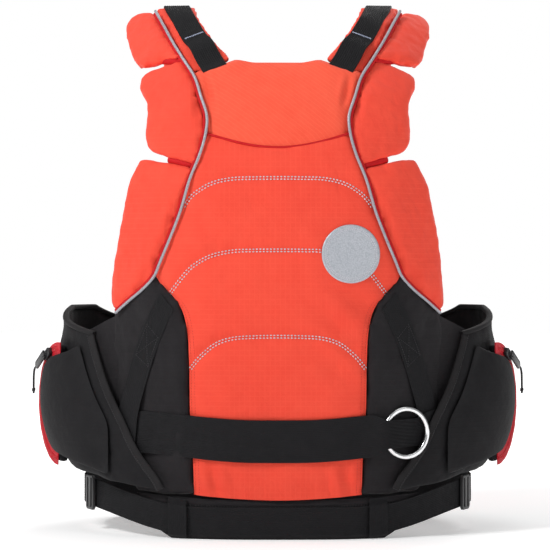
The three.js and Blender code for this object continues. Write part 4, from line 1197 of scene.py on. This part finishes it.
def by_zip(sign, radius, angle, height):
    at = (ZIP_CENTRE + ZIP_AHEAD * radius * math.cos(angle) + Vector((0, 0, radius * math.sin(angle)))
          + ZIP_OUT * height)
    return Vector((sign * at.x, at.y, at.z))


for side, sign in SIDES.items():

    def tape_face(u, v):
        radius, angle = lerp(ZIP_INNER - 1, ZIP_INNER + ZIP_TAPE + 2.5, u), lerp(-1.54, 1.66, v)
        lift = 0.25 * math.sin(v * 60) * abs(2 * u - 1)
        return by_zip(sign, radius, angle, -0.1 + lift * 0.4), by_zip(sign, radius, angle, -1.2)

    new_piece("side_zip_tape_cloth_" + side, slab("tape", tape_face, 10, 90), red_tape, "jacket",
              ["side_zip_tape_" + side], sharp=60)
    teeth = [[by_zip(sign, ZIP_RADIUS - 0.2 + off, a, 0.15) for a in np.linspace(-1.5, 1.5, 120)]
             for off in (-1.1, 0.9)]
    sew("side_zip_teeth_" + side, teeth, red_teeth, "jacket", 1.9, 1.35, 1.7)
    seams = [[by_zip(sign, ZIP_INNER + off, a, 0.1) for a in np.linspace(-1.5, 1.5, 100)]
             for off in (1.2, 8.8)]
    sew("side_zip_stitches_" + side, seams, red_teeth, "jacket", 2.4, 1.7, 0.5)


# ---- Hems ----
# A thick band of black cloth is folded over the jacket's lower edge, back and front, and held by a
# zigzag of black thread just under its top edge.
hem_edge = pattern_edge((147, 45.3), (140, 28), (127, 12), (110, 0))
for part, face_at, outward in (("hem_back", back_face, -1), ("hem_front", front_face, 1)):

    def hem_face(u, v):
        x_edge, z_edge = hem_edge(v)
        x = lerp(-x_edge, x_edge, u)
        z = z_edge - HEM_DIP * (1 - v) * math.sin(math.pi * u)
        y = face_at(x, z)
        round_off = 2.4 * math.exp(-((v / 0.06) ** 2)) + 2.8 * math.exp(-(((1 - v) / 0.1) ** 2))
        puff = 0.5 * wrinkle(x, z, 14, 2) - 0.7 * math.exp(-(((v - 0.14) / 0.04) ** 2))
        return ((x, y + outward * (COVER_OUT + puff - round_off), z),
                (x, y - outward * (8 - round_off * 0.8), z))

    hem = new_piece(part + "_band", slab(part, hem_face, 130, 40), black, "jacket", [part],
                    sharp=70)
    zigzag = []
    for k in range(190):
        u = lerp(0.02, 0.98, k / 189)
        (x, y, z), _ = hem_face(u, 0.12 if k % 2 else 0.20)
        zigzag.append((x, y + outward * 0.1, z))
    sew(part + "_zigzag", [zigzag], black_thread, "jacket", 1.3, 1.2, 0.55)


# ---- Reflective patch ----
# A plain round of silver-grey reflective cloth with nothing on it is sewn to the centre panel by two
# rows of stitches, just inside its turned rim.
silver = reflective_cloth("patch_reflective", (0.36, 0.385, 0.43), (0.58, 0.60, 0.64), 0.0016)


def patch_point(x, z, out):
    return (x, back_face(x, z) - COVER_OUT - 0.4 - out, z)


points, faces = [], []
RINGS, SPOKES = 36, 160
for r in range(RINGS + 1):
    for a in range(SPOKES):
        turn, share = 2 * math.pi * a / SPOKES, r / RINGS
        out = 1.3 - 0.9 * smooth(share, 0.94, 1) + 0.5 * math.exp(-(((share - 0.97) / 0.03) ** 2))
        points.append(patch_point(PATCH_X + PATCH_R * max(share, 1e-3) * math.cos(turn),
                                  PATCH_Z + PATCH_R * max(share, 1e-3) * math.sin(turn), out))
        if r < RINGS:
            b = (a + 1) % SPOKES
            faces.append((r * SPOKES + a, r * SPOKES + b, (r + 1) * SPOKES + b, (r + 1) * SPOKES + a))
faces.append(tuple(range(SPOKES)))
rim = [RINGS * SPOKES + a for a in range(SPOKES)]
under = len(points)
points += [patch_point(PATCH_X + PATCH_R * math.cos(2 * math.pi * a / SPOKES),
                       PATCH_Z + PATCH_R * math.sin(2 * math.pi * a / SPOKES), 0) for a in range(SPOKES)]
faces += [(rim[a], rim[(a + 1) % SPOKES], under + (a + 1) % SPOKES, under + a) for a in range(SPOKES)]
faces.append(tuple(under + a for a in range(SPOKES)))
new_piece("round_reflective_patch", new_mesh("patch", points, faces), silver, "jacket",
          ["reflective_patch"], sharp=50)
ring_rows = [[patch_point(PATCH_X + r * math.cos(a), PATCH_Z + r * math.sin(a), 1.3)
              for a in np.linspace(0, 2 * math.pi, 120)] for r in (26.4, 24.6)]
sew("patch_stitches", ring_rows, pale_thread, "jacket", 2.2, 1.6, 0.6)


# ---- Front panel, chest pocket ----
# The front is one slab of foam in an orange face and a dark liner, with a black pocket that a short
# upright zip opens.
front_edge = pattern_edge((70, 429), (92, 425), (116, 420), (113, 395), (110, 365), (119, 320), (138, 275),
                          (149, 240), (150, 180), (150, 110), (148, 46))
FRONT_FOAM = 38


def front_point(u, v):
    x_edge, z_edge = front_edge(v)
    dip = 26 * (1 - smooth(v, 0, 0.4)) + HEM_DIP * smooth(v, 0.4, 1)
    x = lerp(-x_edge, x_edge, u)
    return x, z_edge - dip * math.sin(math.pi * u)


def front_cover(u, v):
    x, z = front_point(u, v)
    y = front_face(x, z) + COVER_OUT
    edge_gap = (1 - abs(2 * u - 1)) * 120
    relief = 0.8 * wrinkle(x, z, 60, 11) - 2.6 * math.exp(-((edge_gap / 5) ** 2))
    relief -= 2.4 * math.exp(-((v / 0.02) ** 2))
    relief -= 1.2 * math.exp(-(((z - 346) / 4) ** 2)) + 1.2 * math.exp(-(((z - 168) / 4) ** 2))
    held = math.exp(-(((z - 103) / 25) ** 4))
    if abs(x + 63) < 50 and 200 < z < 326 or abs(x - 62) < 24 and 266 < z < 314:
        relief = min(relief, -0.4)
    relief = lerp(relief, min(relief, 0) - 0.8, held)
    return (x, y + relief, z), (x, y + relief - COVER_CLOTH, z)


def front_liner(u, v):
    x, z = front_point(u, v)
    y = front_face(x, z) - FRONT_FOAM - GAP
    puff = max(-0.8, 1.2 * math.sin(x / 11) * math.sin(z / 13) + 0.6 * wrinkle(x, z, 30, 17))
    return (x, y, z), (x, y - COVER_CLOTH - puff * smooth(1 - abs(2 * u - 1), 0, 0.1), z)


front = new_piece("front_panel_cover", slab("front", front_cover, 90, 120), orange, "jacket",
                  ["front_cover"], sharp=60)
new_piece("front_mesh_liner", slab("liner", front_liner, 60, 90), lining, "jacket", ["front_liner"],
          sharp=60)
front_body = new_piece("front_foam_body", foam_body("front_foam_core"), lining, "jacket",
                       ["front_foam_core"])
front_surface = surface(front)
INTO_FRONT = (0, -1, 0)
front_rows = []
for z in (347.3, 344.7, 169.3, 166.7):
    run = [(x, FRONT_DEPTH, z) for x in np.linspace(-105, 105, 120)]
    front_rows.append(dropped(front_surface, run, INTO_FRONT, 0.05))
sew("front_quilting_stitches", front_rows, pale_thread, "jacket", 2.9, 2.0, 0.75)

CHEST_OUT = COVER_OUT + GAP + 9.2


def chest_face(u, v):
    x, z = lerp(-109, -17, u), lerp(320, 206, v)
    rim = min(u, 1 - u) * 92, min(v, 1 - v) * 114
    full = smooth(min(rim), 0, 14)
    y = front_face(x, z)
    out = 2.8 + (CHEST_OUT - 2.8) * (0.25 + 0.75 * full) + 0.5 * wrinkle(x, z, 18, 21) * full - 0.5
    if abs(x + 34) < 7:
        out = min(out, CHEST_OUT - 0.2)
    return (x, y + out, z), (x, y + 2.9, z)


pocket = new_piece("chest_pocket_cover", slab("chest", chest_face, 60, 70), black, "jacket",
                   ["chest_pocket"], sharp=70)


def chest_tape(u, v):
    x, z = lerp(-38.5, -29.5, u), lerp(316, 212, v)
    y = front_face(x, z) + CHEST_OUT + GAP
    return (x, y + 1.0, z), (x, y, z)


new_piece("chest_zip_tape_cloth", slab("tape", chest_tape, 8, 60), red_tape, "jacket",
          ["chest_zip_tape"], sharp=60)
teeth = [[(x, front_face(x, z) + CHEST_OUT + 1.5, z) for z in np.linspace(315, 213, 60)]
         for x in (-34.9, -33.1)]
sew("chest_zip_teeth", teeth, red_teeth, "jacket", 1.7, 1.2, 1.5)
pocket_surface = surface(pocket)
frame_line = [(-104, 314), (-23, 314), (-23, 212), (-104, 212), (-104, 314)]
row = []
for (x0, z0), (x1, z1) in zip(frame_line, frame_line[1:]):
    row += [(lerp(x0, x1, t), FRONT_DEPTH, lerp(z0, z1, t)) for t in np.linspace(0, 1, 40)]
sew("chest_pocket_stitches", [dropped(pocket_surface, row, INTO_FRONT, 0.05)], black_thread, "jacket",
    2.8, 2.0, 0.6)


# ---- Floor and light ----
# A pale floor that fades into white walls, lit by four large soft lamps.
floor_finish, floor_tree, floor_shader = new_finish("studio_paper", 0.9)
paper = mixed(floor_tree, blotches(floor_tree, 0.4), (0.93, 0.93, 0.93), (0.96, 0.96, 0.96))
floor_tree.links.new(paper, floor_shader.inputs["Base Color"])
floor_shader.inputs["Emission Color"].default_value = (1, 1, 1, 1)
away = node(floor_tree, "ShaderNodeVectorMath", {0: place(floor_tree)}, operation="LENGTH").outputs["Value"]
glow = node(floor_tree, "ShaderNodeMapRange", {0: away, 1: 0.6, 2: 1.6, 3: 0.3, 4: 1.0}).outputs[0]
floor_tree.links.new(glow, floor_shader.inputs["Emission Strength"])
mesh = bpy.data.meshes.new("floor")
FLOOR = 8.0
mesh.from_pydata([(-FLOOR, -FLOOR, 0), (FLOOR, -FLOOR, 0), (FLOOR, FLOOR, 0), (-FLOOR, FLOOR, 0)],
                 [], [(0, 1, 2, 3)])
mesh.materials.append(floor_finish)
floor = bpy.data.objects.new("floor", mesh)
bpy.context.collection.objects.link(floor)

world = bpy.data.worlds.new("studio")
bpy.context.scene.world = world
world.use_nodes = True
# The walls are white to the eye, and give less light from below than from above.
sky = world.node_tree
around = node(sky, "ShaderNodeTexCoord").outputs["Generated"]
direction = node(sky, "ShaderNodeSeparateXYZ", {0: around}).outputs[2]
ambient = node(sky, "ShaderNodeMapRange", {0: direction, 1: -1.0, 2: 1.0, 3: 0.06, 4: 0.32}).outputs[0]
seen = node(sky, "ShaderNodeLightPath").outputs["Is Camera Ray"]
sky.links.new(maths(sky, "MAXIMUM", ambient, seen), sky.nodes["Background"].inputs["Strength"])
sky.nodes["Background"].inputs["Color"].default_value = (1, 1, 1, 1)
for name, place_at, power, size in (("key", (-1.7, -1.3, 2.1), 44, 0.6), ("fill", (2.2, -2.4, 1.2), 11, 1.8),
                                    ("top", (0.2, 0.2, 2.6), 15, 1.6), ("front", (1.2, 2.4, 1.8), 30, 1.4)):
    lamp = bpy.data.objects.new(name, bpy.data.lights.new(name, "AREA"))
    lamp.data.energy = power
    lamp.data.size = size
    lamp.location = place_at
    lamp.rotation_euler = (Vector((0, 0, 0.28)) - Vector(place_at)).to_track_quat("-Z", "Y").to_euler()
    bpy.context.collection.objects.link(lamp)
